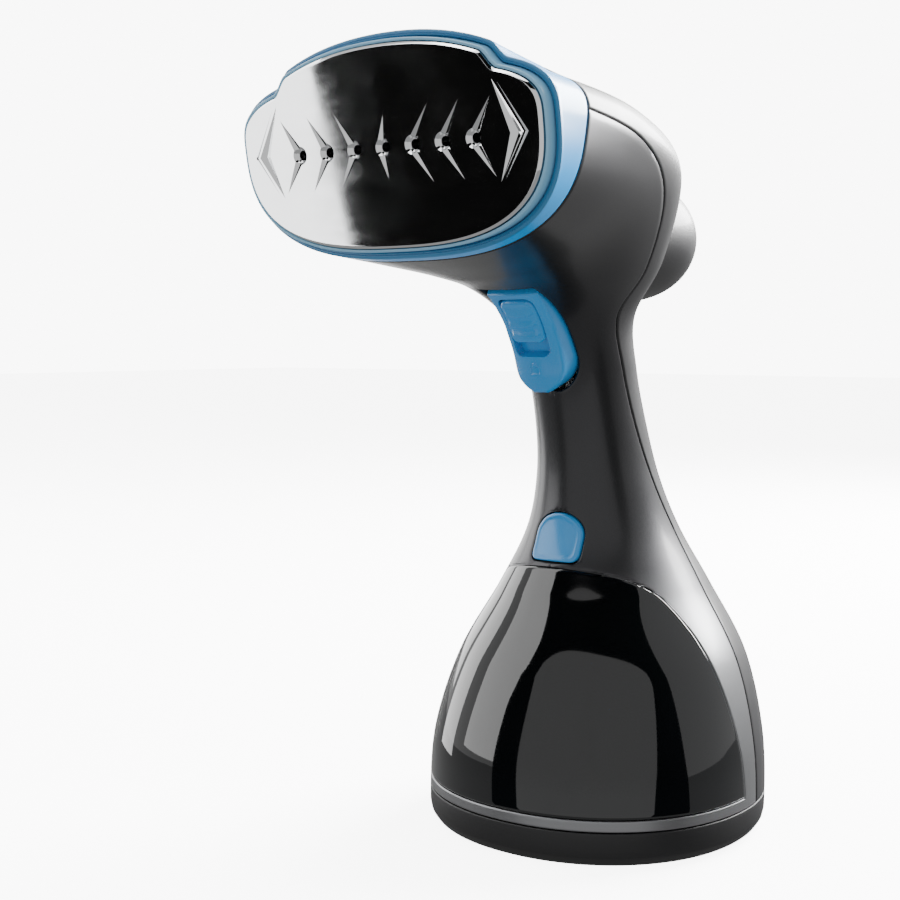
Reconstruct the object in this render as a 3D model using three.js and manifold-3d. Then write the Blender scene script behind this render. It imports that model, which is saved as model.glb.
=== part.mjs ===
// Handheld garment steamer standing on its base, in millimetres.
// +Z is up, -Y is the side of the steam plate, and the origin is the centre of the base's underside.
import * as THREE from 'three';
import { mergeVertices } from 'three/addons/utils/BufferGeometryUtils.js';
import Module from 'manifold-3d';

const wasm = await Module();
wasm.setup();

// ---------------------------------------------------------------- driving dimensions
const GAP = 0.3; // clearance between pieces that touch
const WALL = 2.2; // thickness of the moulded shells
const FOOT_TOP = 13; // height of the dark foot
const RIM_TOP = 17.5; // top of the shell's rim under the tank

const PLATE_TILT = THREE.MathUtils.degToRad(9); // the plate leans forward at its top
const PLATE_CENTRE = new THREE.Vector2(-118.5, 236); // y, z in the plane of the bezel's face
const RING = { half: 62, below: 32, above: 27, waist: 0.644 }; // outline of the bezel's face
const RING_SQUARENESS = [2.75, 3]; // lower and upper half
const CREST = { lift: 8.8, arch: 4, span: 37, edge: 41, blend: 6 }; // raised, arched middle of the outline's top
const MOUTH_INSET = 1.9;
const LIP_INSET = [2.2, 3.2];
const PLATE_INSET = 3.5;
const BAND_ROW = 12.68; // the shells end just before this row and the bezel starts just past it
const BAND_GAP = 0.01;

const plateUp = new THREE.Vector2(-Math.sin(PLATE_TILT), Math.cos(PLATE_TILT));
const ringEdge = (distance) => PLATE_CENTRE.clone().addScaledVector(plateUp, distance).toArray();

// The outer skin is swept through these rows, from the base up the handle to the bezel. Each row is a
// closed section through a front and a back point of the centre plane: [front y, z], [back y, z],
// half width, squareness of the front and back halves, and where the widest point lies between them.
const ROWS = [
  [[-60, 0], [60, 0], 59.5, 2.1, 2.1, 0.5],
  [[-62, 7], [62, 7], 61.5, 2.1, 2.1, 0.5],
  [[-60.5, 34], [62.5, 34], 60, 2.1, 2.1, 0.5],
  [[-50.5, 63], [58, 63], 52, 2.1, 2.1, 0.5],
  [[-36.5, 89], [47, 88], 37.5, 2.1, 2.1, 0.5],
  [[-27, 110], [35, 108], 27, 2.1, 2.1, 0.5],
  [[-25, 130], [25, 127], 21.5, 2.1, 2.1, 0.5],
  [[-27.5, 150], [17, 147], 19.2, 2.1, 2.1, 0.5],
  [[-33.5, 170], [9.5, 168], 19, 2.1, 2.1, 0.5],
  [[-44, 186], [5, 188], 21.5, 2.15, 2.2, 0.5],
  [[-59, 195], [13, 211], 31, 2.3, 2.4, 0.55],
  [[-78, 199], [6, 245], 42, 2.5, 2.7, 0.6],
  [[-97, 202], [-44, 259.5], 53, 2.7, 2.8, 0.63],
  [ringEdge(-RING.below), ringEdge(RING.above), RING.half, ...RING_SQUARENESS, RING.waist],
].map((row) => row.flat());
const LAST_ROW = ROWS.length - 1;

// Half angle of the front shell at each row: beyond it the back cover takes over.
const SHELL_ANGLE = [1.75, 1.75, 1.75, 1.75, 1.77, 1.8, 1.7, 1.55, 1.47, 1.47, 1.59, 1.61, 1.77, 1.85];

// The tank ends at this line of the centre plane, [y, z], carried straight across the object.
const TANK_LINE = [[1, RIM_TOP], [-0.5, 36], [-4, 60], [-8, 78], [-15.5, 90.5], [-30, 97.5], [-46, 99]];
const TANK_WALL = 2;
const FRONT_CLEAR = -90; // a y well in front of the base

const BUTTON = { half: 9.8, bottom: 100, spring: 108.5, rise: 8.5, corner: 3, proud: 0.8, back: -21 };
// Trigger: a strip of the skin between two rows, standing proud of it, wide at the top, round at the foot.
const TRIGGER = {
  top: 9.9, foot: 7.62, half: 10.3, under: 3, round: 0.72, rows: 10, cols: 4,
  proud: [[0, 0.2], [0.45, 6], [0.65, 7.2], [0.85, 9], [1, 8.2]], // share of the length, height over the skin
  channel: { from: 0.05, to: 0.66, half: 7.3, depth: 3.4 },
  slider: { from: 0.08, to: 0.52, half: 6.9, over: 0.9, under: 0.8 },
};
const PIVOT = new THREE.Vector3(0, -54, 199.6);
// Cord outlet: a blunt round horn behind the head, on a level axis, narrowing as a superellipse.
const GLAND = {
  height: 217, root: 24, start: -3, straight: 8, reach: 41, power: 2.6, end: 46.5, bore: 4.2, wall: 3,
};
const PLUG = { at: new THREE.Vector3(0, -8, 78), axis: new THREE.Vector3(0, 0.94, 0.34).normalize() };
const VALVE = { at: new THREE.Vector3(0, 0, 27), axis: new THREE.Vector3(0, 1, 0) };
const FOOT_PADS = [[-40, -28], [40, -28], [-40, 30], [40, 30]];
const BASE_SCREWS = [[-26, -44], [26, -44], [-26, 46], [26, 46]];
const COVER_SCREWS = [62, 150]; // heights on the centre line
const CHAMBER_SCREWS = [[-44, 8], [44, 8], [-36, -17], [36, -17]];
const STEAM_HOLES = [-3, -2, -1, 0, 1, 2, 3].map((k) => [k * 11.5, 2]);

const AXIS = { x: new THREE.Vector3(1, 0, 0), y: new THREE.Vector3(0, 1, 0), z: new THREE.Vector3(0, 0, 1) };

// ---------------------------------------------------------------- the skin as a formula
// Smooth cubic through a table's rows, with u counted in rows.
function blendRows(table, u) {
  const last = table.length - 1;
  const i = Math.min(Math.max(Math.floor(u), 0), last - 1);
  const s = u - i;
  const value = (k) => table[Math.min(Math.max(k, 0), last)];
  const slope = (k, n) => {
    const span = k === 0 || k === last ? 1 : 2;
    return ([value(k + 1)].flat()[n] - [value(k - 1)].flat()[n]) / span;
  };
  return [value(i)].flat().map((start, n) => {
    const end = [value(i + 1)].flat()[n];
    const [s2, s3] = [s * s, s * s * s];
    return start * (2 * s3 - 3 * s2 + 1) + slope(i, n) * (s3 - 2 * s2 + s)
      + end * (3 * s2 - 2 * s3) + slope(i + 1, n) * (s3 - s2);
  });
}

// Lift of the outline's raised middle at a distance x from the centre plane.
const crestLift = (x, edge = CREST.edge) =>
  (CREST.lift - CREST.arch * (x / CREST.span) ** 2)
  * (1 - THREE.MathUtils.smoothstep(Math.abs(x), edge - 1, edge - 1 + CREST.blend));

// Point of the skin at row u and angle v: v = 0 is the front line, v = pi the back line, v > 0 is +X.
function skin(u, v) {
  const [frontY, frontZ, backY, backZ, half, frontPower, backPower, waist] = blendRows(ROWS, u);
  const front = new THREE.Vector2(frontY, frontZ);
  const back = new THREE.Vector2(backY, backZ);
  const centre = front.clone().lerp(back, waist);
  const [c, s] = [Math.cos(v), Math.sin(v)];
  const power = c > 0 ? frontPower : backPower;
  const reach = (Math.abs(c) ** power + Math.abs(s) ** power) ** (-1 / power);
  const side = centre.clone().lerp(c > 0 ? front : back, reach * Math.abs(c));
  const point = new THREE.Vector3(half * reach * s, side.x, side.y);
  if (c < 0) {
    point.z += crestLift(point.x) * THREE.MathUtils.clamp((u - LAST_ROW + 0.5) * 2, 0, 1);
  }
  return point;
}

// Point on the skin moved inwards by a depth along the surface normal.
function innerSkin(u, v, depth) {
  const step = 0.01;
  const point = skin(u, v);
  if (depth === 0) {
    return point;
  }
  const along = skin(Math.min(u + step, LAST_ROW), v).sub(skin(Math.max(u - step, 0), v));
  const around = skin(u, v + step).sub(skin(u, v - step));
  return point.addScaledVector(along.cross(around).normalize(), depth);
}

// Row whose front point stands at a height, found in the base and handle.
function rowAt(height) {
  let [low, high] = [0, 9];
  for (let k = 0; k < 40; k += 1) {
    const middle = (low + high) / 2;
    if (blendRows(ROWS, middle)[1] < height) {
      low = middle;
    } else {
      high = middle;
    }
  }
  return low;
}

const steps = (from, to, count) =>
  Array.from({ length: count + 1 }, (_, k) => from + ((to - from) * k) / count);

// ---------------------------------------------------------------- closed meshes and booleans
function meshFrom(points, triangles) {
  const geometry = new THREE.BufferGeometry();
  geometry.setAttribute('position', new THREE.Float32BufferAttribute(points.flatMap((p) => p.toArray()), 3));
  geometry.setIndex(triangles.flat());
  return geometry;
}

function signedVolume(points, triangles) {
  return triangles.reduce((sum, [a, b, c]) => sum + points[a].dot(points[b].clone().cross(points[c])), 0);
}

function outward(points, triangles) {
  const turned = signedVolume(points, triangles) < 0;
  return meshFrom(points, turned ? triangles.map(([a, b, c]) => [a, c, b]) : triangles);
}

// Closed sheet between an outer and an inner grid of points.
function sheet(outer, inner) {
  const [rows, cols] = [outer.length, outer[0].length];
  const points = [...outer.flat(), ...inner.flat()];
  const at = (layer, i, j) => layer * rows * cols + i * cols + j;
  const triangles = [];
  const quad = (a, b, c, d) => triangles.push([a, b, c], [a, c, d]);
  for (let i = 0; i < rows - 1; i += 1) {
    for (let j = 0; j < cols - 1; j += 1) {
      quad(at(0, i, j), at(0, i, j + 1), at(0, i + 1, j + 1), at(0, i + 1, j));
      quad(at(1, i, j), at(1, i + 1, j), at(1, i + 1, j + 1), at(1, i, j + 1));
    }
    quad(at(0, i, 0), at(0, i + 1, 0), at(1, i + 1, 0), at(1, i, 0));
    quad(at(0, i + 1, cols - 1), at(0, i, cols - 1), at(1, i, cols - 1), at(1, i + 1, cols - 1));
  }
  for (let j = 0; j < cols - 1; j += 1) {
    quad(at(0, 0, j + 1), at(0, 0, j), at(1, 0, j), at(1, 0, j + 1));
    quad(at(0, rows - 1, j), at(0, rows - 1, j + 1), at(1, rows - 1, j + 1), at(1, rows - 1, j));
  }
  return outward(points, triangles);
}

// Closed body inside the skin, between two rows.
function skinSolid(from, to, depth, rows, around) {
  const rings = steps(from, to, rows).map((u) =>
    Array.from({ length: around }, (_, k) => innerSkin(u, (2 * Math.PI * k) / around, depth)));
  const points = rings.flat();
  const triangles = [];
  for (let i = 0; i < rows; i += 1) {
    for (let k = 0; k < around; k += 1) {
      const [a, b] = [i * around + k, i * around + ((k + 1) % around)];
      triangles.push([a, b, b + around], [a, b + around, a + around]);
    }
  }
  const cap = (ring, turned) => {
    const centre = points.push(rings[ring].reduce((sum, p) => sum.add(p), new THREE.Vector3())
      .divideScalar(around)) - 1;
    for (let k = 0; k < around; k += 1) {
      const [a, b] = [ring * around + k, ring * around + ((k + 1) % around)];
      triangles.push(turned ? [centre, b, a] : [centre, a, b]);
    }
  };
  cap(0, true);
  cap(rows, false);
  return outward(points, triangles);
}

function solid(geometry) {
  const bare = geometry.clone();
  bare.deleteAttribute('normal');
  bare.deleteAttribute('uv');
  const merged = mergeVertices(bare, 1e-4);
  const vertProperties = new Float32Array(merged.attributes.position.array);
  const index = merged.index.array;
  const triVerts = [];
  for (let k = 0; k < index.length; k += 3) {
    const [a, b, c] = index.slice(k, k + 3);
    if (a !== b && b !== c && a !== c) {
      triVerts.push(a, b, c);
    }
  }
  const mesh = new wasm.Mesh({ numProp: 3, vertProperties, triVerts: new Uint32Array(triVerts) });
  return new wasm.Manifold(mesh);
}

function geometryOf(body) {
  const { vertProperties, triVerts, numProp } = body.getMesh();
  const points = [];
  for (let k = 0; k < vertProperties.length; k += numProp) {
    points.push(new THREE.Vector3(...vertProperties.slice(k, k + 3)));
  }
  return meshFrom(points, Array.from(triVerts));
}

const cut = (geometry, ...tools) =>
  geometryOf(tools.reduce((body, tool) => body.subtract(solid(tool)), solid(geometry)));
const keep = (geometry, ...tools) =>
  geometryOf(tools.reduce((body, tool) => body.intersect(solid(tool)), solid(geometry)));
const join = (geometry, ...others) =>
  geometryOf(others.reduce((body, other) => body.add(solid(other)), solid(geometry)));

// ---------------------------------------------------------------- plain shapes
// Outline in the centre plane, [y, z] points, carried across from -half to +half.
function acrossX(outline, half) {
  const shape = new THREE.Shape(outline.map(([y, z]) => new THREE.Vector2(y, z)));
  const prism = new THREE.ExtrudeGeometry(shape, { depth: 2 * half, bevelEnabled: false });
  prism.translate(0, 0, -half);
  return prism.applyMatrix4(new THREE.Matrix4().makeBasis(AXIS.y, AXIS.z, AXIS.x));
}

// Shape drawn in x and z, carried from a front y to a back y.
function alongY(shape, frontY, backY) {
  const options = { depth: backY - frontY, bevelEnabled: false, curveSegments: 6 };
  const prism = new THREE.ExtrudeGeometry(shape, options);
  prism.applyMatrix4(new THREE.Matrix4().makeBasis(AXIS.x, AXIS.z, AXIS.y.clone().negate()));
  return prism.translate(0, backY, 0);
}

function box(size, centre) {
  return new THREE.BoxGeometry(...size).translate(...centre);
}

// Cylinder from one point along a direction.
function rod(start, direction, length, radius, sides = 16) {
  const shape = new THREE.CylinderGeometry(radius, radius, length, sides);
  shape.translate(0, length / 2, 0);
  const turn = new THREE.Quaternion().setFromUnitVectors(AXIS.y, direction.clone().normalize());
  return shape.applyQuaternion(turn).translate(...start.toArray());
}

// Ring turned about a direction: inner and outer radius, from start along its length.
function collar(start, direction, length, inner, outer, sides = 20) {
  const profile = [[inner, 0], [outer, 0], [outer, length], [inner, length], [inner, 0]];
  const ring = new THREE.LatheGeometry(profile.map(([r, h]) => new THREE.Vector2(r, h)), sides);
  const turn = new THREE.Quaternion().setFromUnitVectors(AXIS.y, direction.clone().normalize());
  return ring.applyQuaternion(turn).translate(...start.toArray());
}

function tube(route, radius, stepCount, sides = 8) {
  const section = new THREE.Shape(steps(0, sides - 1, sides - 1).map((k) => {
    const angle = (2 * Math.PI * k) / sides;
    return new THREE.Vector2(radius * Math.cos(angle), radius * Math.sin(angle));
  }));
  const path = route instanceof THREE.Curve
    ? route
    : new THREE.CatmullRomCurve3(route.map((p) => new THREE.Vector3(...p)));
  return new THREE.ExtrudeGeometry(section, { steps: stepCount, extrudePath: path, bevelEnabled: false });
}

class Helix extends THREE.Curve {
  constructor(start, direction, length, radius, turns) {
    super();
    Object.assign(this, { start, direction: direction.clone().normalize(), length, radius, turns });
    this.side = new THREE.Vector3().crossVectors(this.direction, AXIS.x).normalize();
  }

  getPoint(t) {
    const angle = 2 * Math.PI * this.turns * t;
    return this.start.clone().addScaledVector(this.direction, this.length * t)
      .addScaledVector(AXIS.x, this.radius * Math.cos(angle))
      .addScaledVector(this.side, this.radius * Math.sin(angle));
  }
}

// Open line moved sideways by a distance, with mitred corners; positive is to the right of its direction.
function offsetLine(line, distance) {
  const points = line.map(([a, b]) => new THREE.Vector2(a, b));
  const normal = (k) => {
    const d = points[k + 1].clone().sub(points[k]).normalize();
    return new THREE.Vector2(d.y, -d.x);
  };
  return points.map((p, k) => {
    const before = normal(Math.max(k - 1, 0));
    const after = normal(Math.min(k, points.length - 2));
    const mitre = before.add(after).normalize();
    return p.clone().addScaledVector(mitre, distance / mitre.dot(after)).toArray();
  });
}

// ---------------------------------------------------------------- the plane of the plate
const plateX = AXIS.x;
const plateRise = new THREE.Vector3(0, plateUp.x, plateUp.y);
const plateOut = new THREE.Vector3().crossVectors(plateX, plateRise);
const plateOrigin = new THREE.Vector3(0, ...PLATE_CENTRE.toArray());

const onPlate = (a, b, out = 0) =>
  plateOrigin.clone().addScaledVector(plateX, a).addScaledVector(plateRise, b).addScaledVector(plateOut, out);

// The bezel's outline drawn smaller by an inset.
function ringOutline(inset, withCrest = true, count = 40) {
  const centreB = RING.waist * (RING.below + RING.above) - RING.below;
  return Array.from({ length: count }, (_, k) => {
    const angle = (2 * Math.PI * k) / count;
    const [c, s] = [Math.cos(angle), Math.sin(angle)];
    const power = RING_SQUARENESS[s < 0 ? 0 : 1];
    const reach = (Math.abs(c) ** power + Math.abs(s) ** power) ** (-1 / power);
    const height = (s < 0 ? RING.below + centreB : RING.above - centreB) - inset;
    const a = (RING.half - inset) * reach * c;
    const lift = s > 0 && withCrest ? crestLift(a, CREST.edge - 0.6 * inset) : 0;
    return new THREE.Vector2(a, centreB + height * reach * s + lift);
  });
}

// Plate-shaped solid between two distances in front of the bezel's face.
function onPlateSolid(outline, fromOut, toOut, hole) {
  const shape = new THREE.Shape(outline);
  if (hole) {
    shape.holes.push(new THREE.Path(hole));
  }
  const slab = new THREE.ExtrudeGeometry(shape, { depth: toOut - fromOut, bevelEnabled: false });
  slab.translate(0, 0, fromOut);
  slab.applyMatrix4(new THREE.Matrix4().makeBasis(plateX, plateRise, plateOut));
  return slab.translate(...plateOrigin.toArray());
}

// ---------------------------------------------------------------- finishes
const finish = (color, roughness, metalness = 0) =>
  new THREE.MeshStandardMaterial({ color, roughness, metalness });
const FINISH = {
  graphite: finish(0x6d6d70, 0.35, 0.6),
  cover: finish(0x4c4d50, 0.5),
  foot: finish(0x232426, 0.55),
  blue: finish(0x4e9cc4, 0.4),
  paleBlue: finish(0x8cc4e0, 0.4),
  tank: finish(0x343a3d, 0.08),
  mirror: finish(0xc8c9cc, 0.12, 1),
  metal: finish(0xa9abae, 0.35, 0.9),
  brass: finish(0xb08d4a, 0.35, 0.9),
  black: finish(0x151618, 0.6),
  rubber: finish(0x1d1e20, 0.85),
  natural: finish(0xd9d8d2, 0.5),
  board: finish(0x1f5a3a, 0.6),
};

const steamer = new THREE.Group();

function add(name, geometry, material) {
  const mesh = new THREE.Mesh(geometry, material);
  mesh.name = name;
  steamer.add(mesh);
}

// ---------------------------------------------------------------- casing
const tankLine = () => {
  const curve = new THREE.SplineCurve(TANK_LINE.map(([y, z]) => new THREE.Vector2(y, z)));
  return [[FRONT_CLEAR, RIM_TOP], ...curve.getPoints(11).map((p) => p.toArray()), [FRONT_CLEAR, 100]];
};
// Space of the tank, grown by a clearance on its floor, back and top.
const tankSpace = (grown, half = 80) => acrossX(offsetLine(tankLine(), grown), half);

function buttonShape(grown) {
  const [half, low] = [BUTTON.half + grown, BUTTON.bottom - grown];
  const shape = new THREE.Shape();
  shape.moveTo(-half + BUTTON.corner, low);
  shape.lineTo(half - BUTTON.corner, low);
  shape.quadraticCurveTo(half, low, half, low + BUTTON.corner);
  shape.lineTo(half, BUTTON.spring);
  shape.absellipse(0, BUTTON.spring, half, BUTTON.rise + grown, 0, Math.PI, false);
  shape.lineTo(-half, low + BUTTON.corner);
  shape.quadraticCurveTo(-half, low, -half + BUTTON.corner, low);
  return shape;
}


function triggerHalfWidth(t, half) {
  const past = Math.max((t - TRIGGER.round) / (1 - TRIGGER.round), 0);
  return half * Math.sqrt(Math.max(1 - 0.72 * past * past, 0));
}

// Grid over a part of the trigger; t runs from its top (0) to its foot (1), out is the height over the skin.
// The height is taken along the centre line's normal, so the sides stay parallel as the trigger swings in.
function triggerGrid(fromT, toT, half, out, stretch = 1) {
  return steps(fromT, toT, TRIGGER.rows).map((t) => {
    const u = TRIGGER.top + (TRIGGER.foot - TRIGGER.top) * t * stretch;
    const width = triggerHalfWidth(t, half) / blendRows(ROWS, u)[4];
    const lift = innerSkin(u, 0, -out(t)).sub(skin(u, 0));
    return steps(-1, 1, TRIGGER.cols).map((across) => skin(u, Math.asin(width * across)).add(lift));
  });
}
function triggerProud(t) {
  const table = TRIGGER.proud;
  const next = Math.max(table.findIndex(([share]) => share >= t - 1e-9), 1);
  const [[from, low], [to, high]] = [table[next - 1], table[next]];
  return THREE.MathUtils.mapLinear(t, from, to, low, high);
}

function triggerSlot() {
  return sheet(triggerGrid(-0.1, 1, TRIGGER.half + 0.6, () => 12, 1.04),
    triggerGrid(-0.1, 1, TRIGGER.half + 0.6, () => -7, 1.04));
}

function addCasing() {
  const rimRow = rowAt(FOOT_TOP + GAP);
  const shellRows = steps(rimRow, BAND_ROW - BAND_GAP, 22);
  const angle = (u, side) => blendRows(SHELL_ANGLE, u)[0] + (side * 0.25) / blendRows(ROWS, u)[4];
  const shellGrid = (depth) => shellRows.map((u) =>
    steps(-angle(u, -1), angle(u, -1), 12).map((v) => innerSkin(u, v, depth)));
  add('body_shell', cut(sheet(shellGrid(0), shellGrid(WALL)),
    tankSpace(GAP), alongY(buttonShape(0.5), -45, -12), triggerSlot()), FINISH.graphite);

  const coverGrid = (depth) => shellRows.map((u) =>
    steps(angle(u, 1), 2 * Math.PI - angle(u, 1), 8).map((v) => innerSkin(u, v, depth)));
  const fromCover = (z, depth) => new THREE.Vector3(0, coverY(z) - depth, z);
  const bosses = COVER_SCREWS.map((z) => rod(fromCover(z, 9), AXIS.y, 7.6, 5, 12));
  const screwHoles = COVER_SCREWS.map((z) => rod(fromCover(z, 20), AXIS.y, 30, 1.9, 8));
  const screwWells = COVER_SCREWS.map((z) => rod(fromCover(z, 2.6), AXIS.y, 20, 3.6, 12));
  const cover = join(sheet(coverGrid(0), coverGrid(WALL)), ...bosses);
  add('back_cover', cut(cover, glandSolid(0.4, false), ...screwHoles, ...screwWells), FINISH.cover);

  const footRows = (depth) => skinSolid(0, rimRow, depth, 3, 28);
  const above = box([200, 200, 40], [0, 0, FOOT_TOP + 20]);
  const posts = BASE_SCREWS.map(([x, y]) => rod(new THREE.Vector3(x, y, 1), AXIS.z, 9, 4.6, 8));
  const tray = cut(footRows(0), keep(footRows(WALL), box([200, 200, 60], [0, 0, 32.6])), above);
  const footHoles = BASE_SCREWS.flatMap(([x, y]) => [
    rod(new THREE.Vector3(x, y, -1), AXIS.z, 30, 1.9, 10),
    rod(new THREE.Vector3(x, y, -1), AXIS.z, 4, 3.4, 12),
  ]);
  const padPockets = FOOT_PADS.map(([x, y]) => rod(new THREE.Vector3(x, y, -1), AXIS.z, 2.4, 5.3, 14));
  add('base_foot', cut(join(tray, ...posts), ...footHoles, ...padPockets), FINISH.foot);
  FOOT_PADS.forEach(([x, y], k) =>
    add(`foot_pad_${k + 1}`, rod(new THREE.Vector3(x, y, 0), AXIS.z, 1.1, 5, 14), FINISH.rubber));
  BASE_SCREWS.forEach(([x, y], k) =>
    add(`base_screw_${k + 1}`, screw(new THREE.Vector3(x, y, 1.2), AXIS.z, 14), FINISH.metal));
  COVER_SCREWS.forEach((z, k) =>
    add(`cover_screw_${k + 1}`, screw(fromCover(z, 0.5), AXIS.y.clone().negate(), 12), FINISH.metal));

  add('cord_gland', glandSolid(0, true), FINISH.cover);
}


function glandSolid(grown, hollow) {
  const radius = (y, less) =>
    (GLAND.root - less) * (1 - ((y - GLAND.straight) / GLAND.reach) ** GLAND.power) ** (1 / GLAND.power);
  const outer = steps(GLAND.straight, GLAND.end, 7).map((y) => [radius(y, 0) + grown, y]);
  const inner = steps(GLAND.straight, GLAND.end - 6, 5).map((y) => [radius(y, GLAND.wall), y]).reverse();
  const shell = [[GLAND.root - GLAND.wall, GLAND.start], [GLAND.root, GLAND.start], ...outer,
    [GLAND.bore, GLAND.end], [GLAND.bore, GLAND.end - 6], ...inner, [GLAND.root - GLAND.wall, GLAND.start]];
  const plug = [[0, GLAND.start - 1], [GLAND.root + grown, GLAND.start - 1], ...outer, [0, GLAND.end]];
  const profile = (hollow ? shell : plug).map(([r, y]) => new THREE.Vector2(r, y));
  return new THREE.LatheGeometry(profile, 16).translate(0, 0, GLAND.height);
}

// Depth of the back line of the skin at a height of the base or handle.
function coverY(z) {
  const row = ROWS.findIndex((values) => values[3] > z);
  const [low, high] = [ROWS[row - 1], ROWS[row]];
  return THREE.MathUtils.mapLinear(z, low[3], high[3], low[2], high[2]);
}

// Pan-head screw: head at the start, shank along the direction.
function screw(start, direction, length) {
  const profile = [[0, 0], [2.6, 0], [3, 0.6], [3, 1.8], [1.5, 1.8], [1.5, length - 1], [0, length]];
  const shape = new THREE.LatheGeometry(profile.map(([r, h]) => new THREE.Vector2(r, h)), 8);
  const turn = new THREE.Quaternion().setFromUnitVectors(AXIS.y, direction);
  return shape.applyQuaternion(turn).translate(...start.toArray());
}

// ---------------------------------------------------------------- steam head

function addHead() {
  const mouth = onPlateSolid(ringOutline(MOUTH_INSET), -2.4, 10);
  const throat = onPlateSolid(ringOutline(8, false, 32), -60, 5);
  const band = skinSolid(BAND_ROW + BAND_GAP, LAST_ROW, 0, 2, 40);
  add('front_bezel', cut(band, mouth, throat), FINISH.blue);
  add('heat_shield', onPlateSolid(ringOutline(LIP_INSET[0]), -2, 3.2, ringOutline(LIP_INSET[1])), FINISH.paleBlue);

  const holes = STEAM_HOLES.map(([a, b]) => rod(onPlate(a, b, -3), plateOut, 12, 1.5, 8));
  add('soleplate', cut(onPlateSolid(ringOutline(PLATE_INSET), -0.8, 4.2), ...holes), FINISH.mirror);
  add('chamber_gasket', onPlateSolid(ringOutline(9.4, false, 32), -2.1, -1.1, ringOutline(13, false, 32)),
    FINISH.rubber);
  const pocket = onPlateSolid(ringOutline(13, false, 24), -8, 0);
  const inlet = rod(onPlate(0, 2, -30), plateOut, 40, 2.6, 10);
  const screwHoles = CHAMBER_SCREWS.map(([a, b]) => rod(onPlate(a, b, -30), plateOut, 26, 1.9, 8));
  const casting = onPlateSolid(ringOutline(9.4, false, 32), -16, -2.4);
  add('steam_chamber', cut(casting, pocket, inlet, ...screwHoles), FINISH.metal);
  CHAMBER_SCREWS.forEach(([a, b], k) => add(`chamber_screw_${k + 1}`,
    screw(onPlate(a, b, -29.9), plateOut, 19), FINISH.metal));

  const loop = [[-40, -8], [-30, -12], [0, -13], [26, -12], [38, -4], [38, 6], [28, 13],
    [10, 14], [-14, 14], [-30, 12]];
  const element = loop.map(([a, b]) => onPlate(a, b, -19.8).toArray());
  add('heating_element', tube(element, 3.1, 22), FINISH.metal);
  add('thermostat', rod(onPlate(-22, 0, -16.4), plateOut.clone().negate(), 7, 7, 16), FINISH.metal);
  add('thermal_fuse', rod(onPlate(12, -4, -19), AXIS.x, 14, 2, 10), FINISH.natural);
  add('steam_inlet', collar(onPlate(0, 2, -16.4), plateOut.clone().negate(), 8, 1.8, 4.2, 14), FINISH.brass);
  const frameHoles = CHAMBER_SCREWS.map(([a, b]) => rod(onPlate(a, b, -32), plateOut, 12, 1.9, 8));
  add('head_frame', cut(onPlateSolid(ringOutline(11.5, false, 32), -27.8, -24.8, ringOutline(21, false, 24)),
    ...frameHoles), FINISH.black);
}

// ---------------------------------------------------------------- tank and its bay

function addTank() {
  const [lowRow, highRow] = [rowAt(RIM_TOP - 3), rowAt(104)];
  const base = skinSolid(lowRow, highRow, 0, 7, 32);
  const inner = (depth) => skinSolid(lowRow - 0.1, highRow + 0.1, depth, 7, 32);
  const mouth = rod(PLUG.at.clone().addScaledVector(PLUG.axis, -12), PLUG.axis, 24, 6.6, 16);
  const outlet = rod(VALVE.at.clone().addScaledVector(VALVE.axis, -12), VALVE.axis, 24, 3.4, 12);
  add('tank_shell', keep(cut(base, inner(TANK_WALL)), tankSpace(0)), FINISH.tank);
  const wall = cut(tankSpace(0), tankSpace(-TANK_WALL, 90));
  add('tank_back', cut(keep(wall, inner(TANK_WALL + GAP)), mouth, outlet), FINISH.tank);
  const plugProfile = [
    [0, -9], [5.6, -9], [6.2, -1], [6.2, 0.6], [8.6, 0.6], [8.6, 2.4], [3, 3], [3, 5], [0, 5],
  ];
  const plug = new THREE.LatheGeometry(plugProfile.map(([r, h]) => new THREE.Vector2(r, h)), 18);
  plug.applyQuaternion(new THREE.Quaternion().setFromUnitVectors(AXIS.y, PLUG.axis));
  add('tank_plug', plug.translate(...PLUG.at.toArray()), FINISH.rubber);
  add('outlet_valve', collar(VALVE.at.clone().setY(-8), VALVE.axis, 8, 1.5, 3, 12), FINISH.natural);

  const window = rod(PLUG.at.clone().addScaledVector(PLUG.axis, -12), PLUG.axis, 30, 10, 16);
  const seat = rod(VALVE.at.clone().setY(-5), VALVE.axis, 20, 4.4, 12);
  const hookWindow = box([14, 12, 12], [0, -20, 97]);
  const bay = cut(tankSpace(GAP + 2), tankSpace(GAP, 90));
  add('tank_bay', cut(keep(bay, inner(WALL + 3 * GAP)), window, seat, hookWindow), FINISH.black);
  add('valve_seat', collar(VALVE.at.clone().setY(1.4), VALVE.axis, 9, 1.8, 4, 14), FINISH.rubber);
}

// ---------------------------------------------------------------- release button
function addRelease() {
  const face = skinSolid(rowAt(92), rowAt(124), -BUTTON.proud, 4, 40);
  add('release_button', keep(alongY(buttonShape(0), -45, BUTTON.back), face), FINISH.blue);
  add('latch_hook', join(box([10, 2, 20], [0, -19.6, 107]), box([10, 5, 2], [0, -21, 97.4])), FINISH.black);
  const start = new THREE.Vector3(0, -18.2, 108);
  add('release_spring', tube(new Helix(start, AXIS.y, 8, 3, 4), 0.45, 26, 5), FINISH.metal);
  add('button_guide', cut(box([24, 3, 26], [0, -8, 109]), box([4, 8, 4], [0, -8, 109])), FINISH.black);
}

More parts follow.
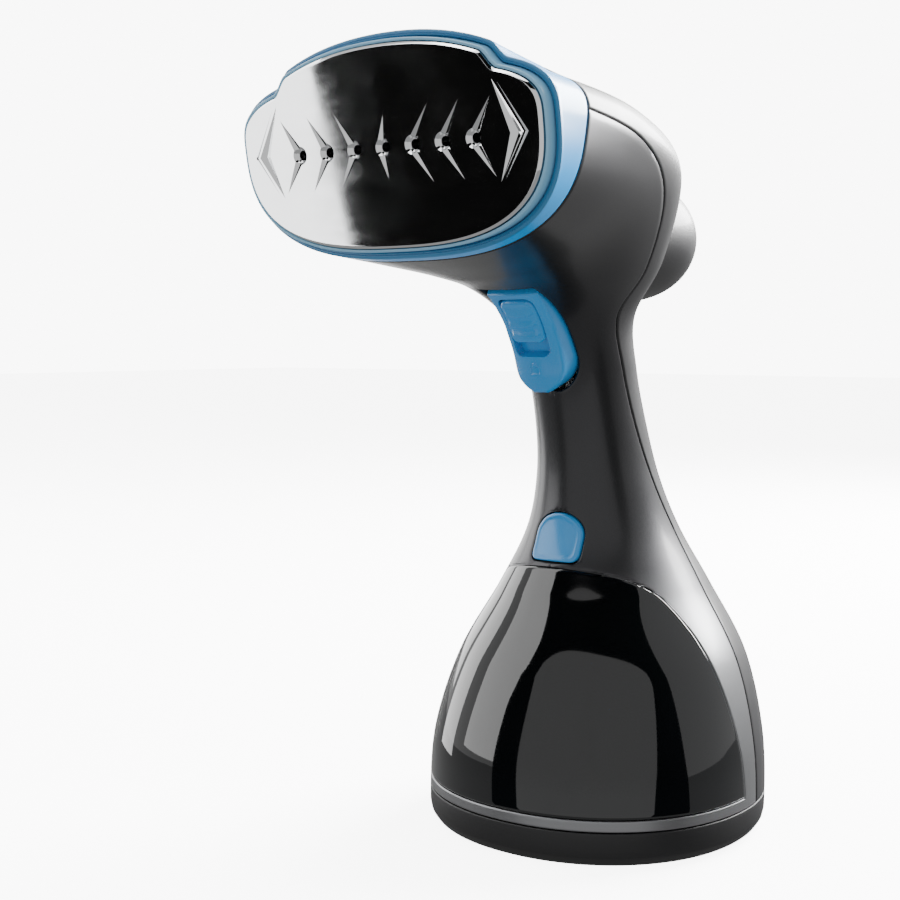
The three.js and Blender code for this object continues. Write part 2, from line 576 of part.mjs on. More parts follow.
// ---------------------------------------------------------------- trigger
function addTrigger() {
  const bodyOf = sheet(triggerGrid(0, 1, TRIGGER.half, triggerProud),
    triggerGrid(0, 1, TRIGGER.half, () => -TRIGGER.under));
  const { channel, slider } = TRIGGER;
  const recess = sheet(triggerGrid(channel.from, channel.to, channel.half, (t) => triggerProud(t) + 3),
    triggerGrid(channel.from, channel.to, channel.half, (t) => triggerProud(t) - channel.depth));
  const ears = [-1, 1].map((side) => rod(PIVOT.clone().setX(side * 8.3 - 2), AXIS.x, 4, 4.2, 14));
  const bore = rod(PIVOT.clone().setX(-20), AXIS.x, 40, 1.9, 12);
  add('trigger', cut(join(bodyOf, ...ears), recess, bore), FINISH.blue);
  add('trigger_pin', rod(PIVOT.clone().setX(-12.5), AXIS.x, 25, 1.5, 12), FINISH.metal);
  const key = (height) => triggerGrid(slider.from, slider.to, slider.half, (t) => triggerProud(t) + height);
  add('lock_slider', sheet(key(slider.over), key(-slider.under)), FINISH.blue);
  const springStart = new THREE.Vector3(0, -25.2, 163.5);
  add('trigger_spring', tube(new Helix(springStart, AXIS.y, 7, 2.6, 4), 0.45, 26, 5), FINISH.metal);
  const switchBox = box([6.4, 10, 20], [0, -13.5, 180]);
  add('micro_switch', join(switchBox, box([3, 10, 4], [0, -23.2, 176])), FINISH.black);
  const bracket = box([26, 2.4, 34], [0, -16, 169]);
  add('switch_bracket', cut(bracket, box([7.4, 6, 22], [0, -16, 180])), FINISH.natural);
}

// ---------------------------------------------------------------- pump, tubes and electrics
function addWorks() {
  const pumpFoot = new THREE.Vector3(0, 30, 23);
  add('pump_body', join(rod(pumpFoot, AXIS.z, 56, 8, 16), rod(pumpFoot.clone().setZ(79), AXIS.z, 9, 3, 12),
    rod(new THREE.Vector3(0, 24, 27), AXIS.y.clone().negate(), 9, 3, 12)), FINISH.natural);
  add('pump_coil', cut(box([32, 28, 26], [0, 30, 56]), rod(pumpFoot, AXIS.z, 70, 8.4, 16)), FINISH.black);
  [36, 72].forEach((z, k) =>
    add(`pump_mount_${k + 1}`, collar(pumpFoot.clone().setZ(z), AXIS.z, 4, 8.4, 13, 18), FINISH.rubber));
  add('suction_tube', collar(new THREE.Vector3(0, 10.7, 27), AXIS.y, 4, 1.4, 2.4, 12), FINISH.natural);
  const hose = [
    [0, 30, 89.4], [0, 30, 92], [4, 27, 101], [9, 14, 125], [9, 3, 150], [9, -2, 175], [9, -8, 196],
    [6, -26, 218], [1, -56, 230], [0, -76, 233], [0, -93, 234],
  ];
  add('delivery_tube', tube(hose, 2.4, 26, 6), FINISH.natural);
  add('control_board', box([28, 1.6, 30], [0, -8, 138]), FINISH.board);
  add('terminal_block', box([18, 10, 12], [0, -14, 240]), FINISH.natural);
}

addCasing();
addHead();
addTank();
addRelease();
addTrigger();
addWorks();

export default steamer;
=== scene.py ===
"""Handheld garment steamer standing on its base: the visual model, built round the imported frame.

+Z is up, -Y is the side of the steam plate and the origin is the centre of the base's underside. Sizes in
this file are in millimetres, and each mesh is scaled to metres once, when it is made.
"""

import logging
import math
from dataclasses import dataclass, field
from enum import Enum
from functools import reduce
from typing import Optional, Sequence, Union

import bpy
import numpy as np
from mathutils import Euler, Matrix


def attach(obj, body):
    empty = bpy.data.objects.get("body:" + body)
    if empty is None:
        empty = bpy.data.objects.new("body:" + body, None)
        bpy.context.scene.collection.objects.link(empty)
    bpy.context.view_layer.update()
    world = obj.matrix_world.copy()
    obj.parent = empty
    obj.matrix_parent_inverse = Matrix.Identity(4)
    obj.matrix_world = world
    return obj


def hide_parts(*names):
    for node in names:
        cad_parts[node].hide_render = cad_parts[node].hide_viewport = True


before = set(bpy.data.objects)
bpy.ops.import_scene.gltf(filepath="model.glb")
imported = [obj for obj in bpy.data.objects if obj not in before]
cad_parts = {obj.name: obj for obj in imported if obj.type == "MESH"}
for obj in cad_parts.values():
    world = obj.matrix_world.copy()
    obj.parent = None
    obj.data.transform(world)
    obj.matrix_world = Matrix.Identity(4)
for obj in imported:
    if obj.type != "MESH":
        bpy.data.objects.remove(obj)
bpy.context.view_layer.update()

Array = np.ndarray
Colour = tuple[float, float, float]

LOG = logging.getLogger("steamer")
MM = 0.001
GAP = 0.3  # clearance between pieces that touch
WALL = 2.2  # thickness of the moulded shells
EDGE_STEPS = np.array([0.0, 0.06, 0.2, 0.42, 0.75])  # depths of the rows that carry a rounded edge


# ---------------------------------------------------------------- meshes from grids
@dataclass
class Surface:
    """Points and faces of a mesh in millimetres: rows of four indices, rows of three, and flat caps."""

    points: Array
    quads: Array
    triangles: Array = field(default_factory=lambda: np.zeros((0, 3), int))
    caps: list[list[int]] = field(default_factory=list)

    def volume(self) -> float:
        """Signed volume: the sum of a · (b × c) / 6 over the faces cut into triangles."""
        fans = [self.quads[:, [0, 1, 2]], self.quads[:, [0, 2, 3]], self.triangles]
        for cap in self.caps:
            ring = np.array(cap)
            fans.append(np.stack([np.full(len(ring) - 2, ring[0]), ring[1:-1], ring[2:]], 1))
        a, b, c = (self.points[np.concatenate(fans)[:, k]] for k in range(3))
        return float(np.einsum("ij,ij->i", a, np.cross(b, c)).sum() / 6)

    def outward(self) -> "Surface":
        """The same closed surface with its faces turned outwards."""
        if self.volume() >= 0:
            return self
        caps = [cap[::-1] for cap in self.caps]
        return Surface(self.points, self.quads[:, ::-1], self.triangles[:, ::-1], caps)

    @staticmethod
    def all_of(parts: Sequence["Surface"]) -> "Surface":
        """Several surfaces as one mesh, in their order."""
        return reduce(Surface.joined, parts)

    def joined(self, other: "Surface") -> "Surface":
        """This surface and another one as one mesh.

        Args:
            other: the surface that is added.

        Returns:
            Both, with the second one's indices moved on.
        """
        on = len(self.points)
        return Surface(
            np.concatenate([self.points, other.points]),
            np.concatenate([self.quads, other.quads + on]),
            np.concatenate([self.triangles, other.triangles + on]),
            self.caps + [[k + on for k in cap] for cap in other.caps],
        )


def grid_quads(rows: int, cols: int, wrap_rows: bool = False, wrap_cols: bool = False) -> Array:
    """Faces of a grid of points stored row by row.

    Args:
        rows: number of rows.
        cols: number of columns.
        wrap_rows: joins the last row to the first.
        wrap_cols: joins the last column to the first.

    Returns:
        One row of four indices for each cell.
    """
    i, j = np.meshgrid(
        np.arange(rows if wrap_rows else rows - 1),
        np.arange(cols if wrap_cols else cols - 1),
        indexing="ij",
    )
    below, beside = (i + 1) % rows, (j + 1) % cols
    corners = [i * cols + j, i * cols + beside, below * cols + beside, below * cols + j]
    return np.stack([corner.ravel() for corner in corners], 1)


def welded(points: Array, quads: Array) -> tuple[Array, Array, Array, Array]:
    """Joins points that lie at the same place and drops what collapses.

    Args:
        points: all points.
        quads: faces over them.

    Returns:
        Index of the first copy of each kept point, place of each old point among them, quads, triangles.
    """
    keys = np.round(points / 1e-3).astype(np.int64)
    _, first, place = np.unique(keys, axis=0, return_index=True, return_inverse=True)
    place = place.ravel()
    faces = place[quads]
    same = faces == np.roll(faces, -1, axis=1)
    whole = faces[~same.any(1)]
    pinched = same.sum(1) == 1
    start = np.argmax(same[pinched], axis=1)
    order = (start[:, None] + np.array([1, 2, 3])) % 4
    return first, place, whole, np.take_along_axis(faces[pinched], order, axis=1)


def tube_surface(grid: Array, wrap_rows: bool = False) -> Surface:
    """Closed surface from a grid whose columns go round and whose end rows are single points or meet.

    Args:
        grid: points, rows by columns by three.
        wrap_rows: joins the last row to the first, for a ring.

    Returns:
        The welded surface, facing outwards.
    """
    rows, cols = grid.shape[:2]
    points = grid.reshape(-1, 3)
    first, _, quads, triangles = welded(points, grid_quads(rows, cols, wrap_rows, True))
    return Surface(points[first], quads, triangles).outward()


def open_edges(quads: Array, triangles: Array) -> Array:
    """Directed edges that belong to one face only."""
    edges = np.concatenate([
        np.stack([quads, np.roll(quads, -1, axis=1)], 2).reshape(-1, 2),
        np.stack([triangles, np.roll(triangles, -1, axis=1)], 2).reshape(-1, 2),
    ])
    low, high = edges.min(1), edges.max(1)
    keys = low * (int(edges.max()) + 1) + high
    _, place, count = np.unique(keys, return_inverse=True, return_counts=True)
    return edges[count[place.ravel()] == 1]


def edge_distance(points: Array, rim: Array) -> Array:
    """Distance from each point to the nearest point of a rim, in blocks that keep the arrays small."""
    nearest = np.empty(len(points))
    block = 2000
    rim32 = rim.astype(np.float32)
    for start in range(0, len(points), block):
        part = points[start:start + block, None].astype(np.float32) - rim32[None]
        nearest[start:start + block] = np.sqrt((part ** 2).sum(2).min(1))
    return nearest


def rounded_drop(distance: Array, radius: Union[float, Array]) -> Array:
    """Depth of a quarter round beside an edge: r - sqrt(r² - (r - d)²) within r of it, and 0 beyond."""
    inside = np.clip(radius - distance, 0, radius)
    return radius - np.sqrt(np.maximum(radius ** 2 - inside ** 2, 0))


def rounded_sheet(
    grids: Sequence[tuple[Array, Array]],
    thickness: Union[float, Array],
    radius: Union[float, Sequence[Array]],
    lift: Optional[Sequence[Array]] = None,
) -> Surface:
    """Closed sheet with rounded edges from one or more outer grids that meet.

    The outer points sink along their normals by a quarter round near every open edge, the inner points lie
    a thickness below, and a wall joins the two along the open edges.

    Args:
        grids: pairs of outer points and outward normals, each rows by columns by three.
        thickness: depth of the inner side under the outer one.
        radius: radius of the edges, or one array of radii for each grid.
        lift: extra height of the outer side over its points, one array for each grid.

    Returns:
        The closed surface, facing outwards.
    """
    points = np.concatenate([p.reshape(-1, 3) for p, _ in grids])
    normals = np.concatenate([n.reshape(-1, 3) for _, n in grids])
    quads, on = [], 0
    for p, _ in grids:
        quads.append(grid_quads(*p.shape[:2]) + on)
        on += p.shape[0] * p.shape[1]
    turned = np.concatenate([quads[0]] + [q[:, ::-1] if k % 2 else q for k, q in enumerate(quads[1:], 1)])
    first, _, quad, triangle = welded(points, turned)
    points, normals = points[first], normals[first]
    radii = radius if isinstance(radius, float) else np.concatenate([r.ravel() for r in radius])[first]
    rise = 0.0 if lift is None else np.concatenate([h.ravel() for h in lift])[first][:, None]
    edges = open_edges(quad, triangle)
    drop = rounded_drop(edge_distance(points, points[np.unique(edges)]), radii)[:, None]
    count = len(points)
    outer = points + normals * (rise - drop)
    inner = points - normals * thickness
    wall = np.stack([edges[:, 1], edges[:, 0], edges[:, 0] + count, edges[:, 1] + count], 1)
    return Surface(
        np.concatenate([outer, inner]),
        np.concatenate([quad, quad[:, ::-1] + count, wall]),
        np.concatenate([triangle, triangle[:, ::-1] + count]),
    ).outward()


def mirrored(grid: tuple[Array, Array]) -> tuple[Array, Array]:
    """A grid of points and normals turned over in the centre plane."""
    flip = np.array([-1.0, 1.0, 1.0])
    return grid[0] * flip, grid[1] * flip


def fillet(profile: Sequence[tuple[float, float, float]], arc_steps: int = 5) -> Array:
    """Line through corners, each rounded by an arc of its own radius.

    Args:
        profile: corners as two coordinates and the radius at that corner, 0 for a sharp one.
        arc_steps: number of pieces in each arc.

    Returns:
        Points of the rounded line, two coordinates each.
    """
    corners = np.array([p[:2] for p in profile], float)
    line = [corners[0]]
    for k in range(1, len(corners) - 1):
        radius = profile[k][2]
        if radius == 0:
            line.append(corners[k])
            continue
        back, ahead = corners[k - 1] - corners[k], corners[k + 1] - corners[k]
        back, ahead = back / np.linalg.norm(back), ahead / np.linalg.norm(ahead)
        half = math.acos(float(np.clip(back @ ahead, -1, 1))) / 2
        reach = radius / math.tan(half)
        middle = (back + ahead) / np.linalg.norm(back + ahead)
        centre = corners[k] + middle * radius / math.sin(half)
        start, end = corners[k] + back * reach - centre, corners[k] + ahead * reach - centre
        turn = math.atan2(start[0] * end[1] - start[1] * end[0], float(start @ end))
        angles = np.linspace(0, turn, arc_steps + 1)
        cos, sin = np.cos(angles), np.sin(angles)
        line.extend(np.stack([
            centre[0] + start[0] * cos - start[1] * sin,
            centre[1] + start[0] * sin + start[1] * cos,
        ], 1))
    line.append(corners[-1])
    return np.array(line)


def lathe(
    profile: Array,
    origin: Sequence[float],
    axis: Sequence[float],
    sides: int,
) -> Surface:
    """Profile of radius and height turned about an axis.

    Args:
        profile: radius and height of each point; it starts and ends on the axis.
        origin: point of the axis at height 0.
        axis: direction of the height.
        sides: number of columns round it.

    Returns:
        The closed surface.
    """
    along = np.array(axis, float) / np.linalg.norm(axis)
    helper = np.array([1.0, 0, 0]) if abs(along[0]) < 0.9 else np.array([0, 1.0, 0])
    side = np.cross(along, helper)
    side /= np.linalg.norm(side)
    other = np.cross(along, side)
    angle = np.linspace(0, 2 * math.pi, sides, endpoint=False)
    spoke = np.cos(angle)[:, None] * side + np.sin(angle)[:, None] * other
    grid = np.array(origin) + profile[:, 0, None, None] * spoke[None] + profile[:, 1, None, None] * along
    return tube_surface(grid)


def smoothstep(value: Array, low: float, high: float) -> Array:
    """0 below low, 1 above high, and 3t² - 2t³ between."""
    t = np.clip((value - low) / (high - low), 0, 1)
    return t * t * (3 - 2 * t)


# ---------------------------------------------------------------- the outer skin
@dataclass
class Skin:
    """The outer skin, swept from the base up the handle to the bezel.

    Each row is a closed section through a front and a back point of the centre plane: front y, front z,
    back y, back z, half width, squareness of the front and back halves, and where the widest point lies.
    """

    plate_tilt: float = math.radians(9)
    plate_centre: tuple[float, float] = (-118.5, 236.0)
    ring_half: float = 62.0
    ring_below: float = 32.0
    ring_above: float = 27.0
    ring_waist: float = 0.644
    ring_power: tuple[float, float] = (2.75, 3.0)
    crest_lift: float = 8.8
    crest_arch: float = 4.0
    crest_span: float = 37.0
    crest_edge: float = 41.0
    crest_blend: float = 6.0
    band_row: float = 12.68
    band_gap: float = 0.01
    foot_top: float = 13.0
    rim_top: float = 17.5
    seam_half: float = 0.25

    def __post_init__(self) -> None:
        """Works out the table of rows, its slopes and the frame of the plate."""
        self.up = np.array([0, -math.sin(self.plate_tilt), math.cos(self.plate_tilt)])
        self.out = np.array([0, -math.cos(self.plate_tilt), -math.sin(self.plate_tilt)])
        self.centre = np.array([0, *self.plate_centre])
        low, high = self.centre - self.up * self.ring_below, self.centre + self.up * self.ring_above
        self.rows = np.array([
            [-60, 0, 60, 0, 59.5, 2.1, 2.1, 0.5],
            [-62, 7, 62, 7, 61.5, 2.1, 2.1, 0.5],
            [-60.5, 34, 62.5, 34, 60, 2.1, 2.1, 0.5],
            [-50.5, 63, 58, 63, 52, 2.1, 2.1, 0.5],
            [-36.5, 89, 47, 88, 37.5, 2.1, 2.1, 0.5],
            [-27, 110, 35, 108, 27, 2.1, 2.1, 0.5],
            [-25, 130, 25, 127, 21.5, 2.1, 2.1, 0.5],
            [-27.5, 150, 17, 147, 19.2, 2.1, 2.1, 0.5],
            [-33.5, 170, 9.5, 168, 19, 2.1, 2.1, 0.5],
            [-44, 186, 5, 188, 21.5, 2.15, 2.2, 0.5],
            [-59, 195, 13, 211, 31, 2.3, 2.4, 0.55],
            [-78, 199, 6, 245, 42, 2.5, 2.7, 0.6],
            [-97, 202, -44, 259.5, 53, 2.7, 2.8, 0.63],
            [low[1], low[2], high[1], high[2], self.ring_half, *self.ring_power, self.ring_waist],
        ])
        self.slopes = np.gradient(self.rows, axis=0)
        self.last = len(self.rows) - 1
        angles = [1.75, 1.75, 1.75, 1.75, 1.77, 1.8, 1.7, 1.55, 1.47, 1.47, 1.59, 1.61, 1.77, 1.85]
        self.seam = np.array(angles)
        self.seam_slopes = np.gradient(self.seam)
        self.ring_middle = self.ring_waist * (self.ring_below + self.ring_above) - self.ring_below

    def blend(self, table: Array, slopes: Array, u: Array) -> Array:
        """Smooth cubic through a table: h00 p0 + h10 m0 + h01 p1 + h11 m1 with u counted in rows."""
        i = np.clip(np.floor(u).astype(int), 0, self.last - 1)
        s = u - i
        if table.ndim > 1:
            s = s[..., None]
        s2, s3 = s * s, s * s * s
        start = table[i] * (2 * s3 - 3 * s2 + 1) + slopes[i] * (s3 - 2 * s2 + s)
        return start + table[i + 1] * (3 * s2 - 2 * s3) + slopes[i + 1] * (s3 - s2)

    def values(self, u: Array) -> Array:
        """The eight values of the section at each row position."""
        return self.blend(self.rows, self.slopes, np.asarray(u, float))

    def half(self, u: Array) -> Array:
        """Half width of the section at each row position."""
        return self.values(u)[..., 4]

    def seam_angle(self, u: Array, side: float) -> Array:
        """Angle where the front shell (side -1) or the back cover (side 1) ends beside the seam."""
        middle = self.blend(self.seam, self.seam_slopes, np.asarray(u, float))
        return middle + side * self.seam_half / self.half(u)

    def crest(self, x: Array, edge: Union[float, Array]) -> Array:
        """Lift of the outline's raised middle: lift - arch · (x / span)², fading out past the edge."""
        lift = self.crest_lift - self.crest_arch * (x / self.crest_span) ** 2
        return lift * (1 - smoothstep(np.abs(x) - edge + 1, 0, self.crest_blend))

    def point(self, u: Array, v: Array) -> Array:
        """Point of the skin at row u and angle v; v = 0 is the front line, v = pi the back, v > 0 is +X.

        With c = cos v, s = sin v, n the squareness on that side and r = (|c|^n + |s|^n)^(-1/n), the point
        lies r|c| of the way from the section's centre to its front or back point, and half · r · s across.
        """
        u, v = np.broadcast_arrays(np.asarray(u, float), np.asarray(v, float))
        front_y, front_z, back_y, back_z, half, front_n, back_n, waist = np.moveaxis(self.values(u), -1, 0)
        c, s = np.cos(v), np.sin(v)
        power = np.where(c > 0, front_n, back_n)
        reach = (np.abs(c) ** power + np.abs(s) ** power) ** (-1 / power)
        share = reach * np.abs(c)
        y = front_y + (back_y - front_y) * waist
        z = front_z + (back_z - front_z) * waist
        y = y + (np.where(c > 0, front_y, back_y) - y) * share
        z = z + (np.where(c > 0, front_z, back_z) - z) * share
        x = half * reach * s
        z = z + np.where(c < 0, self.crest(x, self.crest_edge) * np.clip((u - self.last + 0.5) * 2, 0, 1), 0)
        return np.stack([x, y, z], -1)

    def normal(self, u: Array, v: Array) -> Array:
        """Outward normal: the cross product of small steps around and along the skin."""
        step = 0.01
        u, v = np.broadcast_arrays(np.asarray(u, float), np.asarray(v, float))
        along = self.point(np.minimum(u + step, self.last), v) - self.point(np.maximum(u - step, 0), v)
        around = self.point(u, v + step) - self.point(u, v - step)
        normal = np.cross(around, along)
        return normal / np.linalg.norm(normal, axis=-1, keepdims=True)

    def row_at(self, height: float) -> float:
        """Row whose front point stands at a height, in the base and handle."""
        table = np.linspace(0, 9, 2000)
        return float(np.interp(height, self.values(table)[:, 1], table))

    def base_ring(self, v: Array, height: Array, inset: Array) -> Array:
        """Points of the base's outline at a height, drawn in towards the axis by an inset."""
        rows = np.interp(height, [0, 7, 34], [0, 1, 2])
        ring = self.point(rows[:, None], v[None])
        ring[..., :2] *= (1 - inset / 62.0)[:, None, None]
        ring[..., 2] = height[:, None]
        return ring

    def walk(self, path: Array, count: int) -> Array:
        """A line of rows and angles sampled again at equal steps of its length on the skin.

        Args:
            path: rows and angles, two columns.
            count: number of points.

        Returns:
            Rows and angles of the points.
        """
        dense = np.linspace(0, len(path) - 1, 12 * (len(path) - 1) + 1)
        line = np.stack([np.interp(dense, np.arange(len(path)), path[:, k]) for k in range(2)], 1)
        steps = np.linalg.norm(np.diff(self.point(line[:, 0], line[:, 1]), axis=0), axis=1)
        length = np.concatenate([[0], np.cumsum(steps)])
        at = np.linspace(0, length[-1], count)
        return np.stack([np.interp(at, length, line[:, k]) for k in range(2)], 1)

    def across(self, inner: Array, outer: Array, cols: int) -> Array:
        """Rows and angles of straight rulings between two lines, closer together beside both.

        Args:
            inner: rows and angles of one line.
            outer: rows and angles of the other line, as many points.
            cols: number of points on each ruling.

        Returns:
            Grid of rows and angles.
        """
        share = np.linspace(0, 1, 24)[None, :, None]
        trial = inner[:, None] + (outer - inner)[:, None] * share
        length = np.linalg.norm(np.diff(self.point(trial[..., 0], trial[..., 1]), axis=1), axis=2).sum(1)
        near = np.minimum(EDGE_STEPS[None] / length[:, None], 0.3 * EDGE_STEPS[None] / EDGE_STEPS[-1])
        middle = cols - 2 * len(EDGE_STEPS) + 2
        inside = near[:, -1:] + (1 - 2 * near[:, -1:]) * np.linspace(0, 1, middle)[None]
        place = np.concatenate([near[:, :-1], inside, 1 - near[:, :-1][:, ::-1]], 1)
        return inner[:, None] + (outer - inner)[:, None] * place[..., None]

    def patch(self, uv: Array) -> tuple[Array, Array]:
        """Points and normals of a grid of rows and angles."""
        return self.point(uv[..., 0], uv[..., 1]), self.normal(uv[..., 0], uv[..., 1])

    def front_uv(self, x: Array, z: Array) -> Array:
        """Rows and angles of the points of the front at given x and z, found in a few Newton steps."""
        table = np.linspace(0, 12, 2000)
        u = np.interp(z, self.values(table)[:, 1], table)
        v = np.arcsin(np.clip(x / self.half(u), -0.95, 0.95))
        small = 1e-4
        for _ in range(12):
            at = self.point(u, v)
            by_u, by_v = self.point(u + small, v) - at, self.point(u, v + small) - at
            fault = np.stack([x - at[..., 0], z - at[..., 2]], -1)
            spread = by_u[..., 0] * by_v[..., 2] - by_v[..., 0] * by_u[..., 2]
            u = u + small * (fault[..., 0] * by_v[..., 2] - fault[..., 1] * by_v[..., 0]) / spread
            v = v + small * (fault[..., 1] * by_u[..., 0] - fault[..., 0] * by_u[..., 2]) / spread
        return np.stack([u, v], -1)

    def on_plate(self, a: Array, b: Array, out: Array) -> Array:
        """Point of the plate's plane: a across, b up it, and out in front of it."""
        a, b, out = np.broadcast_arrays(a, b, out)
        right = np.array([1.0, 0, 0])
        return self.centre + a[..., None] * right + b[..., None] * self.up + out[..., None] * self.out

    def ring(self, v: Array, inset: Array, out: Array) -> Array:
        """Points of the bezel's outline drawn smaller by an inset, at a distance in front of its plane.

        The outline is a superellipse about the ring's middle, squarer above than below, under a crest.
        """
        v, inset, out = np.broadcast_arrays(v, inset, out)
        c, s = np.sin(v), -np.cos(v)
        power = np.where(s < 0, *self.ring_power)
        reach = (np.abs(c) ** power + np.abs(s) ** power) ** (-1 / power)
        above, below = self.ring_above - self.ring_middle, self.ring_below + self.ring_middle
        height = np.where(s < 0, below, above) - inset
        a = (self.ring_half - inset) * reach * c
        lift = self.crest(a, self.crest_edge - 0.6 * inset)
        b = self.ring_middle + height * reach * s + np.where(s > 0, lift, 0)
        return self.on_plate(a, b, out)


@dataclass
class TankEdge:
    """Line of the centre plane where the water tank ends, carried straight across the object."""

    skin: Skin
    line: tuple[tuple[float, float], ...] = (
        (1, 17.5), (-0.5, 36), (-4, 60), (-8, 78), (-15.5, 90.5), (-30, 97.5), (-46, 99),
    )

    def curve(self, grown: float) -> Array:
        """Smooth line through the given points, moved out of the tank by a distance along its normal."""
        knots = np.array(self.line)
        padded = np.concatenate([knots[:1], knots, knots[-1:]])
        s = np.linspace(0, 1, 24, endpoint=False)[:, None]
        spans = []
        for k in range(len(knots) - 1):
            a, b, c, d = padded[k:k + 4]
            spans.append(0.5 * (2 * b + (c - a) * s + (2 * a - 5 * b + 4 * c - d) * s ** 2
                                + (3 * b - a - 3 * c + d) * s ** 3))
        line = np.concatenate(spans + [knots[-1:]])
        step = np.gradient(line, axis=0)
        step /= np.linalg.norm(step, axis=1, keepdims=True)
        return line + grown * np.stack([step[:, 1], -step[:, 0]], 1)

    def on_skin(self, grown: float, low_row: float, count: int, depth: float = 0.0) -> Array:
        """Rows and angles where the line's surface meets the skin, from the front line round to a low row.

        Each point is found on a ray from the low front of the tank by halving the step between a point
        inside the tank and one outside it.

        Args:
            grown: clearance that the tank is grown by.
            low_row: row of the lowest point.
            count: number of rays.
            depth: depth under the skin at which the meeting is found.

        Returns:
            Rows and angles of the points.
        """
        line = self.curve(grown)[::-1]
        ray = np.linspace(0, math.pi / 2, count)
        low, high = np.zeros(count), np.full(count, 1.6)
        for _ in range(40):
            middle = (low + high) / 2
            u, v = low_row + 3 * middle * np.cos(ray), 1.6 * middle * np.sin(ray)
            at = self.skin.point(u, v) - depth * self.skin.normal(u, v)
            height = np.interp(at[:, 1], line[:, 0], line[:, 1], right=-1e3)
            inside = at[:, 2] < height
            low, high = np.where(inside, middle, low), np.where(inside, high, middle)
        return np.stack([low_row + 3 * low * np.cos(ray), 1.6 * low * np.sin(ray)], 1)


# ---------------------------------------------------------------- shader maths
class Field:
    """A value in a material: a socket, or a plain number, with Python's operators."""

    def __init__(self, graph: "Graph", value: Union[bpy.types.NodeSocket, float]) -> None:
        """Keeps the socket or number and the graph that new nodes go to."""
        self.graph, self.value = graph, value

    def __add__(self, other: "FieldLike") -> "Field":
        """Sum."""
        return self.graph.math("ADD", self, other)

    def __sub__(self, other: "FieldLike") -> "Field":
        """Difference."""
        return self.graph.math("SUBTRACT", self, other)

    def __rsub__(self, other: "FieldLike") -> "Field":
        """Difference from a number."""
        return self.graph.math("SUBTRACT", other, self)

    def __mul__(self, other: "FieldLike") -> "Field":
        """Product."""
        return self.graph.math("MULTIPLY", self, other)

    def between(self, low: float, high: float) -> "Field":
        """0 at low, 1 at high and smooth between; low may be the larger one."""
        settings = {"interpolation_type": "SMOOTHSTEP"}
        reach = {"From Min": low, "From Max": high, "To Min": 0.0, "To Max": 1.0}
        if low > high:
            reach = {"From Min": high, "From Max": low, "To Min": 1.0, "To Max": 0.0}
        node = self.graph.node("ShaderNodeMapRange", settings, {"Value": self, **reach})
        return Field(self.graph, node.outputs["Result"])

    __radd__ = __add__
    __rmul__ = __mul__


FieldLike = Union[Field, float]


def feed(tree: bpy.types.NodeTree, socket: bpy.types.NodeSocket, value: object) -> None:
    """Links a socket or sets its number."""
    value = value.value if isinstance(value, Field) else value
    if isinstance(value, bpy.types.NodeSocket):
        tree.links.new(value, socket)
    else:
        socket.default_value = value


def add_node(tree: bpy.types.NodeTree, kind: str, settings: dict, inputs: dict) -> bpy.types.Node:
    """Adds a node.

    Args:
        tree: the material's or the world's node tree.
        kind: type of the node.
        settings: its properties, set first.
        inputs: values or links of its sockets, by name or number.

    Returns:
        The node.
    """
    node = tree.nodes.new(kind)
    for key, value in settings.items():
        setattr(node, key, value)
    for key, value in inputs.items():
        feed(tree, node.inputs[key], value)
    return node


